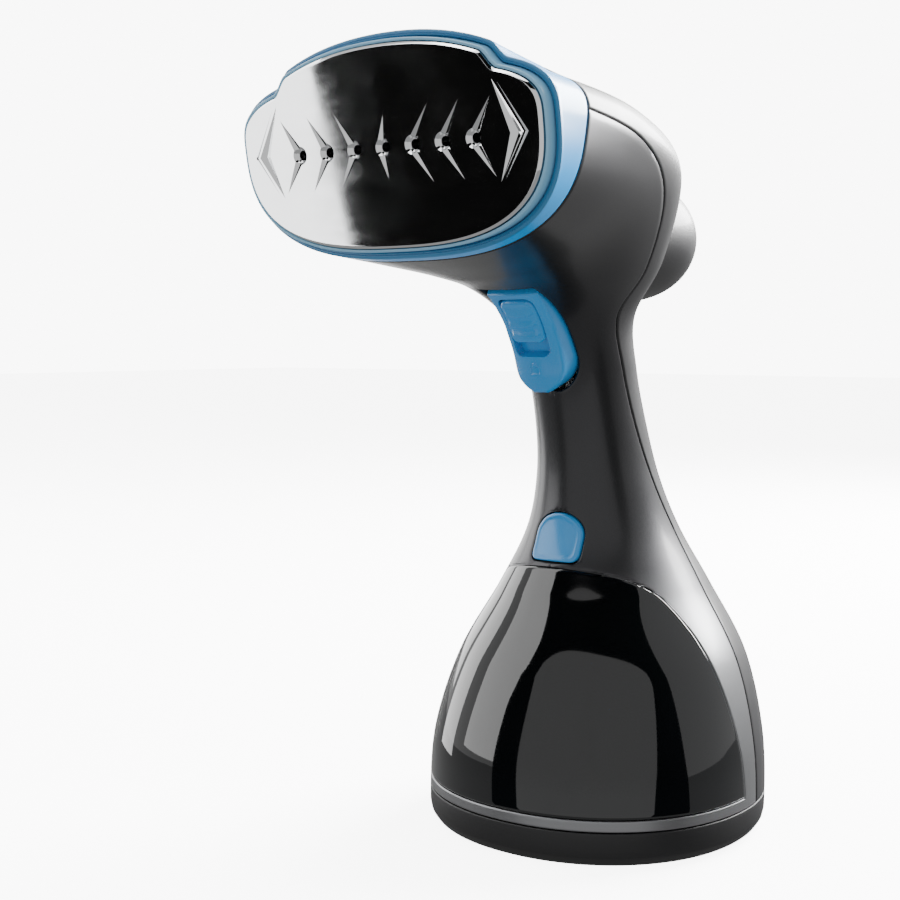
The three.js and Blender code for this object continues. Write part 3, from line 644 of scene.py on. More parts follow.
class Graph:
    """A material's node tree with one Principled shader."""

    def __init__(self, name: str) -> None:
        """Makes the material, its shader and the Object coordinates that every pattern reads."""
        self.material = bpy.data.materials.new(name)
        self.material.use_nodes = True
        self.tree = self.material.node_tree
        self.shader = self.tree.nodes["Principled BSDF"]
        self.place = self.tree.nodes.new("ShaderNodeTexCoord").outputs["Object"]

    def node(self, kind: str, settings: dict, inputs: dict) -> bpy.types.Node:
        """Adds a node to the material."""
        return add_node(self.tree, kind, settings, inputs)

    def math(self, operation: str, a: FieldLike, b: FieldLike) -> Field:
        """One Math node."""
        node = self.node("ShaderNodeMath", {"operation": operation}, {0: a, 1: b})
        return Field(self, node.outputs[0])

    def noise(self, scale: float, detail: float = 3.0, stretch: Colour = (1, 1, 1)) -> Field:
        """Noise about 0.5 with so many features to the metre, drawn out along the axes by the stretch."""
        mapping = self.node("ShaderNodeMapping", {}, {"Vector": self.place, "Scale": stretch})
        inputs = {"Vector": mapping.outputs[0], "Scale": scale, "Detail": detail, "Roughness": 0.55}
        return Field(self, self.node("ShaderNodeTexNoise", {}, inputs).outputs[0])

    def cells(self, scale: float) -> Field:
        """Distance to the nearest of many scattered points, 0 at a point."""
        node = self.node("ShaderNodeTexVoronoi", {}, {"Vector": self.place, "Scale": scale})
        return Field(self, node.outputs["Distance"])

    def axis(self, name: str) -> Field:
        """One coordinate, in metres."""
        return Field(self, self.node("ShaderNodeSeparateXYZ", {}, {0: self.place}).outputs[name])

    def along(self, direction: Sequence[float], origin: Sequence[float]) -> Field:
        """Distance in metres along a direction from a point."""
        inputs = {0: self.place, 1: tuple(direction)}
        dot = self.node("ShaderNodeVectorMath", {"operation": "DOT_PRODUCT"}, inputs).outputs["Value"]
        return Field(self, dot) - float(np.dot(direction, origin))

    def mix(self, factor: FieldLike, low: object, high: object) -> bpy.types.NodeSocket:
        """Colour between two colours."""
        node = self.node("ShaderNodeMix", {"data_type": "RGBA"}, {0: factor, 6: shade(low), 7: shade(high)})
        return node.outputs[2]

    def bump(self, height: Field, depth: float, strength: float = 1.0) -> None:
        """Bends the normal by a height from 0 to 1 that stands for a depth in metres."""
        node = self.node("ShaderNodeBump", {}, {"Height": height, "Distance": depth, "Strength": strength})
        feed(self.tree, self.shader.inputs["Normal"], node.outputs[0])

    def set(self, **values: object) -> None:
        """Feeds the shader's sockets, named with _ for a space."""
        for key, value in values.items():
            feed(self.tree, self.shader.inputs[key.replace("_", " ")], value)


def shade(colour: object) -> object:
    """A colour of three numbers with its alpha; a socket stays as it is."""
    return (*colour, 1.0) if isinstance(colour, tuple) and len(colour) == 3 else colour


def linear(red: int, green: int, blue: int) -> Colour:
    """Display values from 0 to 255 as linear light."""
    shares = [value / 255 for value in (red, green, blue)]
    return tuple(s / 12.92 if s <= 0.04045 else ((s + 0.055) / 1.055) ** 2.4 for s in shares)


# ---------------------------------------------------------------- finishes
@dataclass(frozen=True)
class Moulded:
    """Moulded plastic: fine spark-eroded grain, faint flow marks in the colour and uneven gloss."""

    name: str
    colour: Colour
    roughness: float = 0.45
    grain: float = 1500.0
    depth: float = 0.00002
    vary: float = 0.12
    coat: float = 0.0
    subsurface: float = 0.0

    def build(self) -> bpy.types.Material:
        """Makes the material."""
        graph = Graph(self.name)
        flow = graph.noise(18.0, 2.0).between(0.3, 0.7)
        grain = graph.noise(self.grain, 3.0)
        low = tuple(c * (1 - self.vary) for c in self.colour)
        high = tuple(min(c * (1 + self.vary), 1.0) for c in self.colour)
        graph.set(Base_Color=graph.mix(flow * 0.7 + grain * 0.3, low, high))
        handled = graph.noise(60.0, 4.0)
        graph.set(Roughness=handled * 0.12 + (self.roughness - 0.06))
        graph.set(Coat_Weight=self.coat, Coat_Roughness=0.12, Subsurface_Weight=self.subsurface)
        graph.bump(grain, self.depth, 0.6)
        return graph.material


@dataclass(frozen=True)
class SatinPaint:
    """Metallic graphite paint: fine flakes under a clear satin coat, turning silver round the tank's foot."""

    name: str
    colour: Colour
    rim: Colour
    metallic: float = 0.75
    roughness: float = 0.3
    coat: float = 0.25

    def build(self) -> bpy.types.Material:
        """Makes the material."""
        graph = Graph(self.name)
        flake = graph.cells(2600.0).between(0.0, 0.7)
        cloud = graph.noise(12.0, 2.0).between(0.35, 0.65)
        low = tuple(c * 0.9 for c in self.colour)
        high = tuple(min(c * 1.12, 1.0) for c in self.colour)
        paint = graph.mix(flake * 0.6 + cloud * 0.4, low, high)
        pale = graph.mix(flake * 0.6 + cloud * 0.4, self.rim, tuple(c * 1.1 for c in self.rim))
        graph.set(Base_Color=graph.mix(graph.axis("Z").between(0.1, 0.07), paint, pale))
        graph.set(Metallic=self.metallic, Roughness=flake * 0.06 + cloud * 0.04 + (self.roughness - 0.05))
        graph.set(Coat_Weight=self.coat, Coat_Roughness=0.15)
        graph.bump(graph.noise(1900.0, 2.0), 0.00001, 0.35)
        return graph.material


@dataclass(frozen=True)
class PaintedLitSideTone:
    """Moulded plastic with painted light: one colour painted darker on the face as painted shade and paler on
    the side as a painted lit side, switched across a plane.
    """

    name: str
    # face is the painted-shade colour, side is the painted-lit colour of the same plastic
    face: Colour
    side: Colour
    normal: tuple[float, float, float]
    origin: tuple[float, float, float]
    blend: tuple[float, float]
    roughness: float = 0.35
    coat: float = 0.2

    def build(self) -> bpy.types.Material:
        """Makes the material; the blend gives the two distances in metres where each colour is full."""
        graph = Graph(self.name)
        share = graph.along(self.normal, self.origin).between(*self.blend)
        flow = graph.noise(22.0, 2.0).between(0.3, 0.7)
        face = graph.mix(flow, tuple(c * 0.93 for c in self.face), self.face)
        side = graph.mix(flow, tuple(c * 0.95 for c in self.side), self.side)
        # painted light: the side is painted paler as if lit and the face darker as if shaded
        graph.set(Base_Color=graph.mix(share, side, face))
        graph.set(Roughness=graph.noise(70.0, 4.0) * 0.1 + (self.roughness - 0.05))
        graph.set(Coat_Weight=self.coat, Coat_Roughness=0.1)
        graph.bump(graph.noise(1700.0, 2.0), 0.00001, 0.4)
        return graph.material


@dataclass(frozen=True)
class Metal:
    """Bare metal: a grain drawn out along one axis, soft smudges and small pits for a casting."""

    name: str
    colour: Colour
    roughness: float = 0.3
    stretch: Colour = (1.0, 1.0, 1.0)
    grain: float = 700.0
    depth: float = 0.00002
    smudge: float = 0.1

    def build(self) -> bpy.types.Material:
        """Makes the material."""
        graph = Graph(self.name)
        grain = graph.noise(self.grain, 4.0, self.stretch)
        smudge = graph.noise(28.0, 4.0).between(0.42, 0.75)
        low = tuple(c * 0.9 for c in self.colour)
        graph.set(Base_Color=graph.mix(grain * 0.6 + smudge * 0.4, self.colour, low))
        graph.set(Metallic=1.0, Roughness=smudge * self.smudge + grain * 0.05 + (self.roughness - 0.03))
        graph.bump(grain, self.depth, 0.5)
        return graph.material


@dataclass(frozen=True)
class SmokedClear:
    """Smoke-tinted clear plastic: a dark glossy wall that lets a little of what is behind it through."""

    name: str
    colour: Colour
    alpha: float = 0.8
    roughness: float = 0.04

    def build(self) -> bpy.types.Material:
        """Makes the material; the tint thickens a little towards the floor, where water leaves a film."""
        graph = Graph(self.name)
        film = graph.axis("Z").between(0.034, 0.018)
        streak = graph.noise(40.0, 3.0, (1.0, 1.0, 0.25)).between(0.45, 0.8)
        tint = tuple(c * 1.5 for c in self.colour)
        graph.set(Base_Color=graph.mix(film * 0.5 + streak * 0.2, self.colour, tint))
        graph.set(Alpha=film * 0.1 + self.alpha)
        graph.set(Roughness=streak * 0.03 + self.roughness, IOR=1.5)
        graph.set(Coat_Weight=0.6, Coat_Roughness=0.02)
        graph.bump(graph.noise(900.0, 2.0), 0.000004, 0.15)
        return graph.material


@dataclass(frozen=True)
class CircuitBoard:
    """Board with solder mask over copper tracks: darker green on a square lattice of paler lines."""

    name: str
    mask: Colour
    track: Colour

    def build(self) -> bpy.types.Material:
        """Makes the material."""
        graph = Graph(self.name)
        lattice = graph.node("ShaderNodeTexBrick", {}, {
            "Vector": graph.place, "Scale": 160.0, "Color1": (1, 1, 1, 1), "Color2": (0.6, 0.6, 0.6, 1),
            "Mortar": (0, 0, 0, 1), "Mortar Size": 0.08,
        })
        graph.set(Base_Color=graph.mix(Field(graph, lattice.outputs[1]), self.mask, self.track))
        graph.set(Roughness=graph.noise(300.0) * 0.2 + 0.3)
        graph.bump(graph.noise(900.0), 0.00003, 0.5)
        return graph.material


class Slot(Enum):
    """Material slots of the record."""

    GRAPHITE = "graphite"
    COVER = "cover"
    FOOT = "foot"
    BLUE = "blue"
    PALE_BLUE = "pale_blue"
    TANK = "smoke_tank"
    MIRROR = "mirror_plate"
    CAST = "cast_metal"
    STEEL = "steel"
    BRASS = "brass"
    BLACK = "black_plastic"
    RUBBER = "rubber"
    NATURAL = "natural_plastic"
    BOARD = "board"


PLATE_NORMAL = (0.0, -math.cos(math.radians(9)), -math.sin(math.radians(9)))

FINISHES = {
    Slot.GRAPHITE: SatinPaint("graphite_paint", linear(58, 58, 60), linear(128, 129, 131), 0.8, 0.34),
    Slot.COVER: Moulded("cover_plastic", linear(34, 34, 36), 0.42, coat=0.15),
    Slot.FOOT: Moulded("foot_plastic", linear(19, 19, 21), 0.5),
    Slot.BLUE: Moulded("control_blue", linear(40, 148, 216), 0.3, vary=0.06, coat=0.35, subsurface=0.05),
    Slot.PALE_BLUE: Moulded("shield_pale_blue", linear(120, 176, 208), 0.35, vary=0.05, coat=0.3),
    Slot.TANK: SmokedClear("tank_smoke", linear(7, 9, 11), 0.94),
    Slot.MIRROR: Metal("plate_mirror", (0.86, 0.87, 0.88), 0.05, (1, 30, 1), 60.0, 0.000004, 0.05),
    Slot.CAST: Metal("cast_aluminium", (0.58, 0.59, 0.6), 0.42, grain=420.0, depth=0.00012),
    Slot.STEEL: Metal("screw_steel", (0.62, 0.62, 0.63), 0.26, (1, 1, 12), 900.0),
    Slot.BRASS: Metal("brass", (0.72, 0.52, 0.24), 0.28, (1, 12, 1), 700.0),
    Slot.BLACK: Moulded("black_plastic", linear(28, 29, 31), 0.55),
    Slot.RUBBER: Moulded("rubber", linear(30, 31, 33), 0.78, 900.0, 0.00005),
    Slot.NATURAL: Moulded("natural_nylon", linear(222, 220, 210), 0.45, subsurface=0.15),
    Slot.BOARD: CircuitBoard("circuit_board", linear(24, 92, 58), linear(62, 140, 88)),
}


class Palette:
    """Finishes made so far, one material for each."""

    def __init__(self) -> None:
        """Starts with no material made."""
        self.made: dict[str, bpy.types.Material] = {}

    def get(self, finish: object) -> bpy.types.Material:
        """The material of a slot or of a finish of its own."""
        finish = FINISHES[finish] if isinstance(finish, Slot) else finish
        if finish.name not in self.made:
            self.made[finish.name] = finish.build()
        return self.made[finish.name]


@dataclass
class Workshop:
    """Turns surfaces into pieces of the frame."""

    skin: Skin
    palette: Palette

    def piece(
        self,
        name: str,
        surface: Surface,
        slot: Slot,
        body: str = "root",
        stands_for: Sequence[str] = (),
        finish: Optional[object] = None,
        sharp: float = 32.0,
    ) -> bpy.types.Object:
        """Makes one piece, gives it its finish and hangs it on its body.

        Args:
            name: name of the piece.
            surface: its mesh, in millimetres.
            slot: the record's slot that it is painted from.
            body: the body that it rides on.
            stands_for: CAD nodes that it replaces.
            finish: a finish other than the slot's own.
            sharp: angle in degrees past which an edge stays sharp.

        Returns:
            The object.
        """
        mesh = bpy.data.meshes.new(name)
        faces = surface.quads.tolist() + surface.triangles.tolist() + surface.caps
        mesh.from_pydata((surface.points * MM).tolist(), [], faces)
        mesh.shade_smooth()
        mesh.set_sharp_from_angle(angle=math.radians(sharp))
        mesh.materials.append(self.palette.get(finish or slot))
        made = bpy.data.objects.new(name, mesh)
        bpy.context.scene.collection.objects.link(made)
        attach(made, body)
        if stands_for:
            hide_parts(*stands_for)
        LOG.info("%s: %d faces on %s", name, len(faces), body)
        return made

    def carve(self, made: bpy.types.Object, cutters: Surface, sharp: float = 32.0) -> None:
        """Cuts a closed surface out of a finished piece.

        Args:
            made: the piece.
            cutters: what is cut away, in millimetres.
            sharp: angle in degrees past which an edge stays sharp.
        """
        mesh = bpy.data.meshes.new("cutter")
        faces = cutters.quads.tolist() + cutters.triangles.tolist() + cutters.caps
        mesh.from_pydata((cutters.points * MM).tolist(), [], faces)
        tool = bpy.data.objects.new("cutter", mesh)
        bpy.context.scene.collection.objects.link(tool)
        modifier = made.modifiers.new("carve", "BOOLEAN")
        modifier.object, modifier.operation, modifier.solver = tool, "DIFFERENCE", "EXACT"
        modifier.use_self = True
        bpy.context.view_layer.update()
        cut = bpy.data.meshes.new_from_object(made.evaluated_get(bpy.context.evaluated_depsgraph_get()))
        made.modifiers.clear()
        old, made.data = made.data, cut
        cut.shade_smooth()
        cut.set_sharp_from_angle(angle=math.radians(sharp))
        bpy.data.objects.remove(tool)
        bpy.data.meshes.remove(mesh)
        bpy.data.meshes.remove(old)


# ---------------------------------------------------------------- casing
@dataclass
class ButtonShape:
    """Outline of the release button: flat below with round corners, an arch above."""

    half: float = 9.8
    bottom: float = 100.0
    spring: float = 108.5
    rise: float = 8.5
    corner: float = 3.0

    def outline(self, grown: float) -> list[Array]:
        """Right half of the outline in x and z, as its floor, its side with the corner, and its arch."""
        half, low = self.half + grown, self.bottom - grown
        floor = np.array([[0, low], [half - self.corner, low]])
        t = np.linspace(0, 1, 9)[:, None]
        turn = ((1 - t) ** 2 * np.array([half - self.corner, low]) + 2 * t * (1 - t) * np.array([half, low])
                + t ** 2 * np.array([half, low + self.corner]))
        side = np.concatenate([turn, [[half, self.spring]]])
        angle = np.linspace(0, math.pi / 2, 25)
        arch = np.stack([half * np.cos(angle), self.spring + (self.rise + grown) * np.sin(angle)], 1)
        return [floor, side, arch]


@dataclass
class TriggerShape:
    """The trigger as a strip of the skin between two rows: wide at the top, round at the foot, proud."""

    skin: Skin
    top: float = 9.9
    foot: float = 7.62
    half: float = 10.3
    under: float = 3.0
    straight: float = 0.72
    tip: float = 0.94
    proud: tuple[tuple[float, float], ...] = (
        (0, 0.2), (0.2, 3.0), (0.45, 6.0), (0.65, 7.2), (0.85, 8.8), (1, 8.2),
    )

    def width(self, t: Array, half: float) -> Array:
        """Half width at a share t of the length: constant, then sqrt(1 - tip · past²) towards the foot."""
        past = np.clip((t - self.straight) / (1 - self.straight), 0, 1)
        return half * np.sqrt(1 - self.tip * past ** 2)

    def uv(self, t: Array, across: Array, half: float, stretch: float = 1.0) -> Array:
        """Rows and angles of points at a share of the length and of the half width."""
        u = self.top + (self.foot - self.top) * t * stretch
        return np.stack([u, np.arcsin(self.width(t, half) / self.skin.half(u) * across)], -1)

    def strip(self, t: Array, across: Array, half: float) -> tuple[Array, Array]:
        """Grid of skin points and of the centre line's normals, which keep the sides parallel."""
        t, across = np.broadcast_arrays(t[:, None], across[None])
        uv = self.uv(t, across, half)
        centre = self.skin.normal(uv[:, :1, 0], np.zeros((len(t), 1)))
        return self.skin.point(uv[..., 0], uv[..., 1]), np.broadcast_to(centre, (*t.shape, 3))

    def height(self, t: Array) -> Array:
        """Height of the face over the skin along the trigger."""
        table = np.array(self.proud, float)
        dense = np.linspace(0, 1, 201)
        line = np.interp(dense, table[:, 0], table[:, 1])
        kernel = np.hanning(31)
        padded = np.pad(line, 15, mode="reflect", reflect_type="odd")
        return np.interp(t, dense, np.convolve(padded, kernel / kernel.sum(), mode="valid"))


@dataclass
class Casing:
    """The graphite front shell, the dark back cover with its cord horn, and the foot."""

    shop: Workshop
    button: ButtonShape
    trigger: TriggerShape
    edge_radius: float = 0.7
    front_cols: int = 44
    cover_cols: int = 64
    foot_columns: int = 220
    slot_grown: float = 0.5
    well_radius: float = 3.6
    well_depth: float = 2.6
    cover_screws: tuple[float, float] = (62.0, 150.0)
    foot_pads: tuple[tuple[float, float], ...] = ((-40, -28), (40, -28), (-40, 30), (40, 30))
    base_screws: tuple[tuple[float, float], ...] = ((-26, -44), (26, -44), (-26, 46), (26, 46))
    pad_hole: tuple[float, float] = (5.3, 1.4)  # radius and depth
    screw_hole: tuple[float, float] = (3.4, 3.1)

    def build(self) -> None:
        """Makes the three parts of the casing and the horn."""
        self.build_front()
        self.build_cover()
        self.build_foot()
        self.build_horn()

    def front_lines(self) -> tuple[Array, Array]:
        """The two lines that bound the right half of the front shell, as many points on each.

        The inner one runs along the rim under the tank, up the tank's edge to the centre line, round the
        button's hole and the trigger's slot, and up to the bezel. The outer one runs along the shell's lower
        edge and up the seam with the back cover. Both are given piece by piece, so that no ruling between
        them crosses a hole.
        """
        skin = self.shop.skin
        low, rim = skin.row_at(skin.foot_top + GAP), skin.row_at(skin.rim_top - GAP)
        tank = TankEdge(skin).on_skin(GAP, rim, 90)[::-1]
        holes = [skin.front_uv(part[:, 0], part[:, 1]) for part in self.button.outline(self.slot_grown)]
        half, stretch, over = self.trigger.half + 0.6, 1.04, -0.1
        straight = self.trigger.straight
        round_off = np.sin(np.linspace(math.pi / 2, 0, 30)) * (1 - straight) + straight
        side_t = np.concatenate([round_off, np.linspace(straight, over, 30)[1:]])
        share = np.linspace(0, 1, 8)
        slot_foot = self.trigger.uv(np.ones(8), share, half, stretch)
        slot_side = self.trigger.uv(side_t, np.ones(len(side_t)), half, stretch)
        slot_top = self.trigger.uv(np.full(8, over), share[::-1], half, stretch)
        end = skin.band_row - skin.band_gap
        near = end - np.array([0.07, 0.045, 0.025, 0.012, 0.004, 0])
        corner = tank[:1]

        def seam(start: float, stop: float) -> Array:
            """The seam between two rows."""
            rows = np.linspace(start, stop, 30)
            return np.stack([rows, skin.seam_angle(rows, -1)], 1)

        def middle(start: float, stop: float) -> Array:
            """The centre line between two rows."""
            return np.array([[start, 0], [stop, 0]])

        bottom = np.array([[low, 0], [low, float(skin.seam_angle(np.array(low), -1))]])
        pieces = [
            (np.array([[rim, 0], corner[0]]), bottom, 70),
            (np.repeat(corner, 2, axis=0), seam(low, rim), 4),
            (tank, seam(rim, 4.30), 90),
            (middle(tank[-1, 0], holes[0][0, 0]), seam(4.30, 4.36), 4),
            (holes[0], seam(4.36, 4.45), 10),
            (holes[1], seam(4.45, 5.0), 14),
            (holes[2], seam(5.0, 5.75), 26),
            (middle(holes[2][-1, 0], slot_foot[0, 0]), seam(5.75, 7.2), 28),
            (slot_foot, seam(7.2, 7.22), 4),
            (slot_side, seam(7.22, 10.2), 80),
            (slot_top, seam(10.2, 10.6), 12),
            (middle(slot_top[-1, 0], near[0]), seam(10.6, near[0]), 44),
        ]
        inner, outer = [], []
        for k, (inside, outside, count) in enumerate(pieces):
            first = 0 if k == 0 else 1
            fixed = np.allclose(inside, inside[0])
            line = np.repeat(inside[:1], count, axis=0) if fixed else skin.walk(inside, count)
            inner.append(line[first:])
            outer.append(skin.walk(outside, count)[first:])
        inner.append(np.stack([near[1:], np.zeros(5)], 1))
        outer.append(np.stack([near[1:], skin.seam_angle(near[1:], -1)], 1))
        return np.concatenate(inner), np.concatenate(outer)

    def build_front(self) -> None:
        """The front shell: rulings between its two bounding lines, and their mirror image."""
        skin = self.shop.skin
        half = skin.patch(skin.across(*self.front_lines(), self.front_cols))
        surface = rounded_sheet([half, mirrored(half)], WALL, self.edge_radius)
        self.shop.piece("shell_front", surface, Slot.GRAPHITE, stands_for=["body_shell"])

    def build_cover(self) -> None:
        """The back cover: the skin from the seam round to the back line, with its screw wells cut in."""
        skin = self.shop.skin
        low, end = skin.row_at(skin.foot_top + GAP), skin.band_row - skin.band_gap
        near = np.array([0, 0.002, 0.008, 0.016, 0.03])
        rows = np.concatenate([low + near, np.linspace(low, end, 170)[1:-1], end - near[::-1]])
        rows = np.sort(rows)
        inner = np.stack([rows, skin.seam_angle(rows, 1)], 1)
        outer = np.stack([rows, np.full(len(rows), math.pi)], 1)
        half = skin.patch(skin.across(inner, outer, self.cover_cols))
        surface = rounded_sheet([half, mirrored(half)], WALL, self.edge_radius)
        cover = self.shop.piece("shell_back", surface, Slot.COVER, stands_for=["back_cover"])
        table = skin.values(np.linspace(1, 9, 400))
        radius, depth, over = self.well_radius, self.well_depth, 9.0
        drill = np.array([[0, -depth], [radius, -depth], [radius, over], [0, over]])
        backs = [(0, float(np.interp(z, table[:, 3], table[:, 2])), z) for z in self.cover_screws]
        self.shop.carve(cover, Surface.all_of([lathe(drill, back, (0, 1, 0), 40) for back in backs]))

    def build_foot(self) -> None:
        """The foot: the base's outline carried round a profile with a soft lower edge."""
        skin = self.shop.skin
        top = skin.foot_top - 0.05
        profile = fillet([
            (62, 0.5, 0), (30, 0.5, 0), (1.3, 0.5, 2.4), (0.05, 4.2, 3.0), (0, 7, 0), (0, 10, 0),
            (0, top, 0.5), (WALL, top, 0.4), (WALL, 5, 0), (62, 5, 0),
        ])
        v = np.linspace(0, 2 * math.pi, self.foot_columns, endpoint=False)
        surface = tube_surface(skin.base_ring(v, profile[:, 1], profile[:, 0]))
        foot = self.shop.piece("base_foot_shell", surface, Slot.FOOT, stands_for=["base_foot"])
        holes, over = [], 2
        for places, (radius, depth) in (
            (self.foot_pads, self.pad_hole), (self.base_screws, self.screw_hole),
        ):
            drill = np.array([[0, -over], [radius, -over], [radius, depth], [0, depth]])
            holes += [lathe(drill, (x, y, 0), (0, 0, 1), 40) for x, y in places]
        self.shop.carve(foot, Surface.all_of(holes))

    def build_horn(self) -> None:
        """The cord horn: r = root · (1 - ((y - straight) / reach)^p)^(1/p) turned about a level axis."""
        root, straight, reach, power, end, bore = 24.0, 8.0, 41.0, 2.6, 46.5, 4.2
        y = straight + (end - straight) * np.sin(np.linspace(0, math.pi / 2, 26))
        radius = root * (1 - ((y - straight) / reach) ** power) ** (1 / power)
        sweep = [(r, h, 0.0) for r, h in zip(radius[:-1], y[:-1])]
        profile = fillet([
            (0, -3, 0), (root, -3, 0), *sweep, (radius[-1], end, 1.2), (bore + 2.6, end, 0.5),
            (bore + 2.2, end - 0.9, 0.3), (bore, end - 0.9, 0.5), (bore, 26, 0), (0, 26, 0),
        ])
        surface = lathe(profile, (0, 0, 217), (0, 1, 0), 120)
        self.shop.piece("cord_horn", surface, Slot.COVER, stands_for=["cord_gland"])


# ---------------------------------------------------------------- steam head
@dataclass
class SteamHead:
    """The blue bezel, the pale heat shield and the mirror plate with its steam holes."""

    shop: Workshop
    columns: int = 480
    face_drop: float = 0.25
    mouth_inset: float = 1.9
    lip_inset: tuple[float, float] = (2.2, 3.2)
    lip_out: tuple[float, float] = (-2.0, 3.2)
    plate_inset: float = 3.5
    plate_out: tuple[float, float] = (-0.8, 4.2)
    chamfer: float = 0.7
    hole_pitch: float = 11.5
    hole_b: float = 2.0
    hole_radius: float = 1.5
    dish_radius: float = 2.9
    groove_depth: float = 1.0
    arrow: tuple[float, float] = (7.0, 11.5)  # how far a chevron's tips reach across and up
    middle_arrow: tuple[float, float] = (1.2, 9.5)
    # the outer and inner corner of each end chevron's vertex, then its upper and its lower tip
    end_arrows: tuple[tuple[float, float, tuple[float, float], tuple[float, float]], ...] = (
        (52.2, 47.6, (42.5, 16), (43.0, 13)),
        (53.9, 53.0, (44.2, 15.4), (44.6, 12.4)),
    )

    def build(self) -> None:
        """Makes the three rings of the head's front."""
        self.v = np.linspace(0, 2 * math.pi, self.columns, endpoint=False)
        self.build_bezel()
        self.build_lip()
        self.build_plate()

    def rings(self, profile: Array) -> Array:
        """Loops of the bezel's outline for rows of inset and distance in front."""
        return self.shop.skin.ring(self.v[None], profile[:, :1], profile[:, 1:])

    def build_bezel(self) -> None:
        """The bezel: the skin's last stretch, then the stepped face round the mouth, as one closed ring."""
        skin, v = self.shop.skin, self.v
        rear = skin.band_row + skin.band_gap
        step = 0.01
        speed = np.linalg.norm(skin.point(rear + step, v) - skin.point(rear, v), axis=1) / step
        rows = []
        for depth in (6.0, 2.0, 0.8):
            rows.append(skin.point(rear, v) - depth * skin.normal(rear, v))
        for distance in EDGE_STEPS:
            u = rear + distance / speed
            drop = float(rounded_drop(np.array(distance), self.chamfer))
            rows.append(skin.point(u, v) - drop * skin.normal(u, v))
        start, stop = rear + EDGE_STEPS[-1] / speed, np.full(len(v), float(skin.last)) - 0.7 / speed
        rows.extend(skin.point(start + (stop - start) * t, v) for t in np.linspace(0.12, 1, 9))
        face = fillet([
            (0.0, -0.9, 0), (0.0, 0.0, 0.5), (0.95, 0.0, 0), (1.1, -self.face_drop, 0),
            (self.mouth_inset - 0.05, -self.face_drop, 0.4), (self.mouth_inset, -2.4, 0), (8.0, -2.4, 0),
            (8.0, -9.0, 0),
        ])[1:]
        grid = np.concatenate([np.stack(rows), self.rings(face)])
        # painted light: the bezel's face is painted darker as shade and its side band paler as if lit
        finish = PaintedLitSideTone(
            "bezel_blue_painted_light", linear(42, 120, 166), linear(8, 164, 244), PLATE_NORMAL,
            tuple(skin.centre * MM), (-0.0016, -0.0002),
        )
        surface = tube_surface(grid, wrap_rows=True)
        self.shop.piece("bezel", surface, Slot.BLUE, stands_for=["front_bezel"], finish=finish)

    def build_lip(self) -> None:
        """The heat shield: a thin raised lip round the plate."""
        (outer, inner), (back, front) = self.lip_inset, self.lip_out
        mid = (outer + inner) / 2
        profile = fillet([
            (mid, back, 0), (outer, back, 0), (outer, front, 0.4),
            (inner, front, 0.35), (inner, back, 0), (mid, back, 0),
        ])
        surface = tube_surface(self.rings(profile[:-1]), wrap_rows=True)
        self.shop.piece("heat_lip", surface, Slot.PALE_BLUE, stands_for=["heat_shield"])

    def chevron(
        self, outer: float, inner: float, tips: Sequence[tuple[float, float]], level: float
    ) -> Surface:
        """Cutter for one chevron: two tapering V grooves that share a deep vertex and reach over the face.

        Each half is a four-sided wedge between the vertex's section and its tip. The section is a triangle
        from the outer to the inner corner of the vertex on the face, with the keel below the middle.

        Args:
            outer: a of the vertex's outer corner.
            inner: a of its inner corner.
            tips: a and b of the two pointed ends.
            level: b of the vertex.

        Returns:
            Both wedges, in the plate's place.
        """
        over, depth = 0.4, self.groove_depth
        share = (depth + over) / depth
        middle = np.array([(outer + inner) / 2, level])
        corners = middle + (np.array([[outer, level], [inner, level]]) - middle) * share
        ends = middle + (np.array(tips, float) - middle) * share
        flat = np.concatenate([[middle], corners, ends])
        out = self.plate_out[1] + np.array([-depth, over, over, over, over])
        points = self.shop.skin.on_plate(flat[:, 0], flat[:, 1], out)
        shell = np.array([[1, 3, 2], [0, 3, 1], [0, 2, 3], [1, 2, 4], [0, 1, 4], [0, 4, 2]])
        return Surface(points, np.zeros((0, 4), int), shell).outward()

    def build_plate(self) -> None:
        """The mirror plate: a chamfered slab with a row of chevron recesses, each with a steam hole."""
        skin = self.shop.skin
        back, front = self.plate_out
        profile = fillet([
            (self.plate_inset, back, 0), (self.plate_inset, front - self.chamfer, 0.15),
            (self.plate_inset + self.chamfer, front, 0.12), (self.plate_inset + self.chamfer + 0.6, front, 0),
        ], 3)
        grid = self.rings(profile)
        rows = len(profile)
        points = grid.reshape(-1, 3)
        first = list(range(self.columns))
        last = [(rows - 1) * self.columns + k for k in first]
        quads = grid_quads(rows, self.columns, wrap_cols=True)
        surface = Surface(points, quads, caps=[first[::-1], last]).outward()
        plate = self.shop.piece("steam_plate", surface, Slot.MIRROR, stands_for=["soleplate"], sharp=12)
        level = self.hole_b
        cuts = []
        for k in range(-3, 4):
            a, turn = k * self.hole_pitch, float(np.sign(k)) or 1.0
            reach, rise = self.arrow if k else self.middle_arrow
            tips = [(a + reach * turn, level + rise), (a + reach * turn, level - rise)]
            cuts.append(self.chevron(a - 2.7 * turn, a + 1.5 * turn, tips, level))
        for side in (-1, 1):
            for outer, inner, high, low in self.end_arrows:
                tips = [(side * high[0], level + high[1]), (side * low[0], level - low[1])]
                cuts.append(self.chevron(side * outer, side * inner, tips, level + 0.5))
        self.shop.carve(plate, Surface.all_of(cuts), 12)
        radius, dish = self.hole_radius, self.dish_radius
        drill = fillet([
            (0, -3, 0), (radius, -3, 0), (radius, front - 1.4, 0.3), (dish * 0.75, front - 0.9, 0.5),
            (dish, front, 0), (dish + 0.3, front + 0.4, 0), (0, front + 0.4, 0),
        ])
        along = np.arange(-3, 4) * self.hole_pitch
        origins = skin.on_plate(along, np.array(self.hole_b), np.array(0.0))
        holes = [lathe(drill, origin, skin.out, 28) for origin in origins]
        self.shop.carve(plate, Surface.all_of(holes), 12)


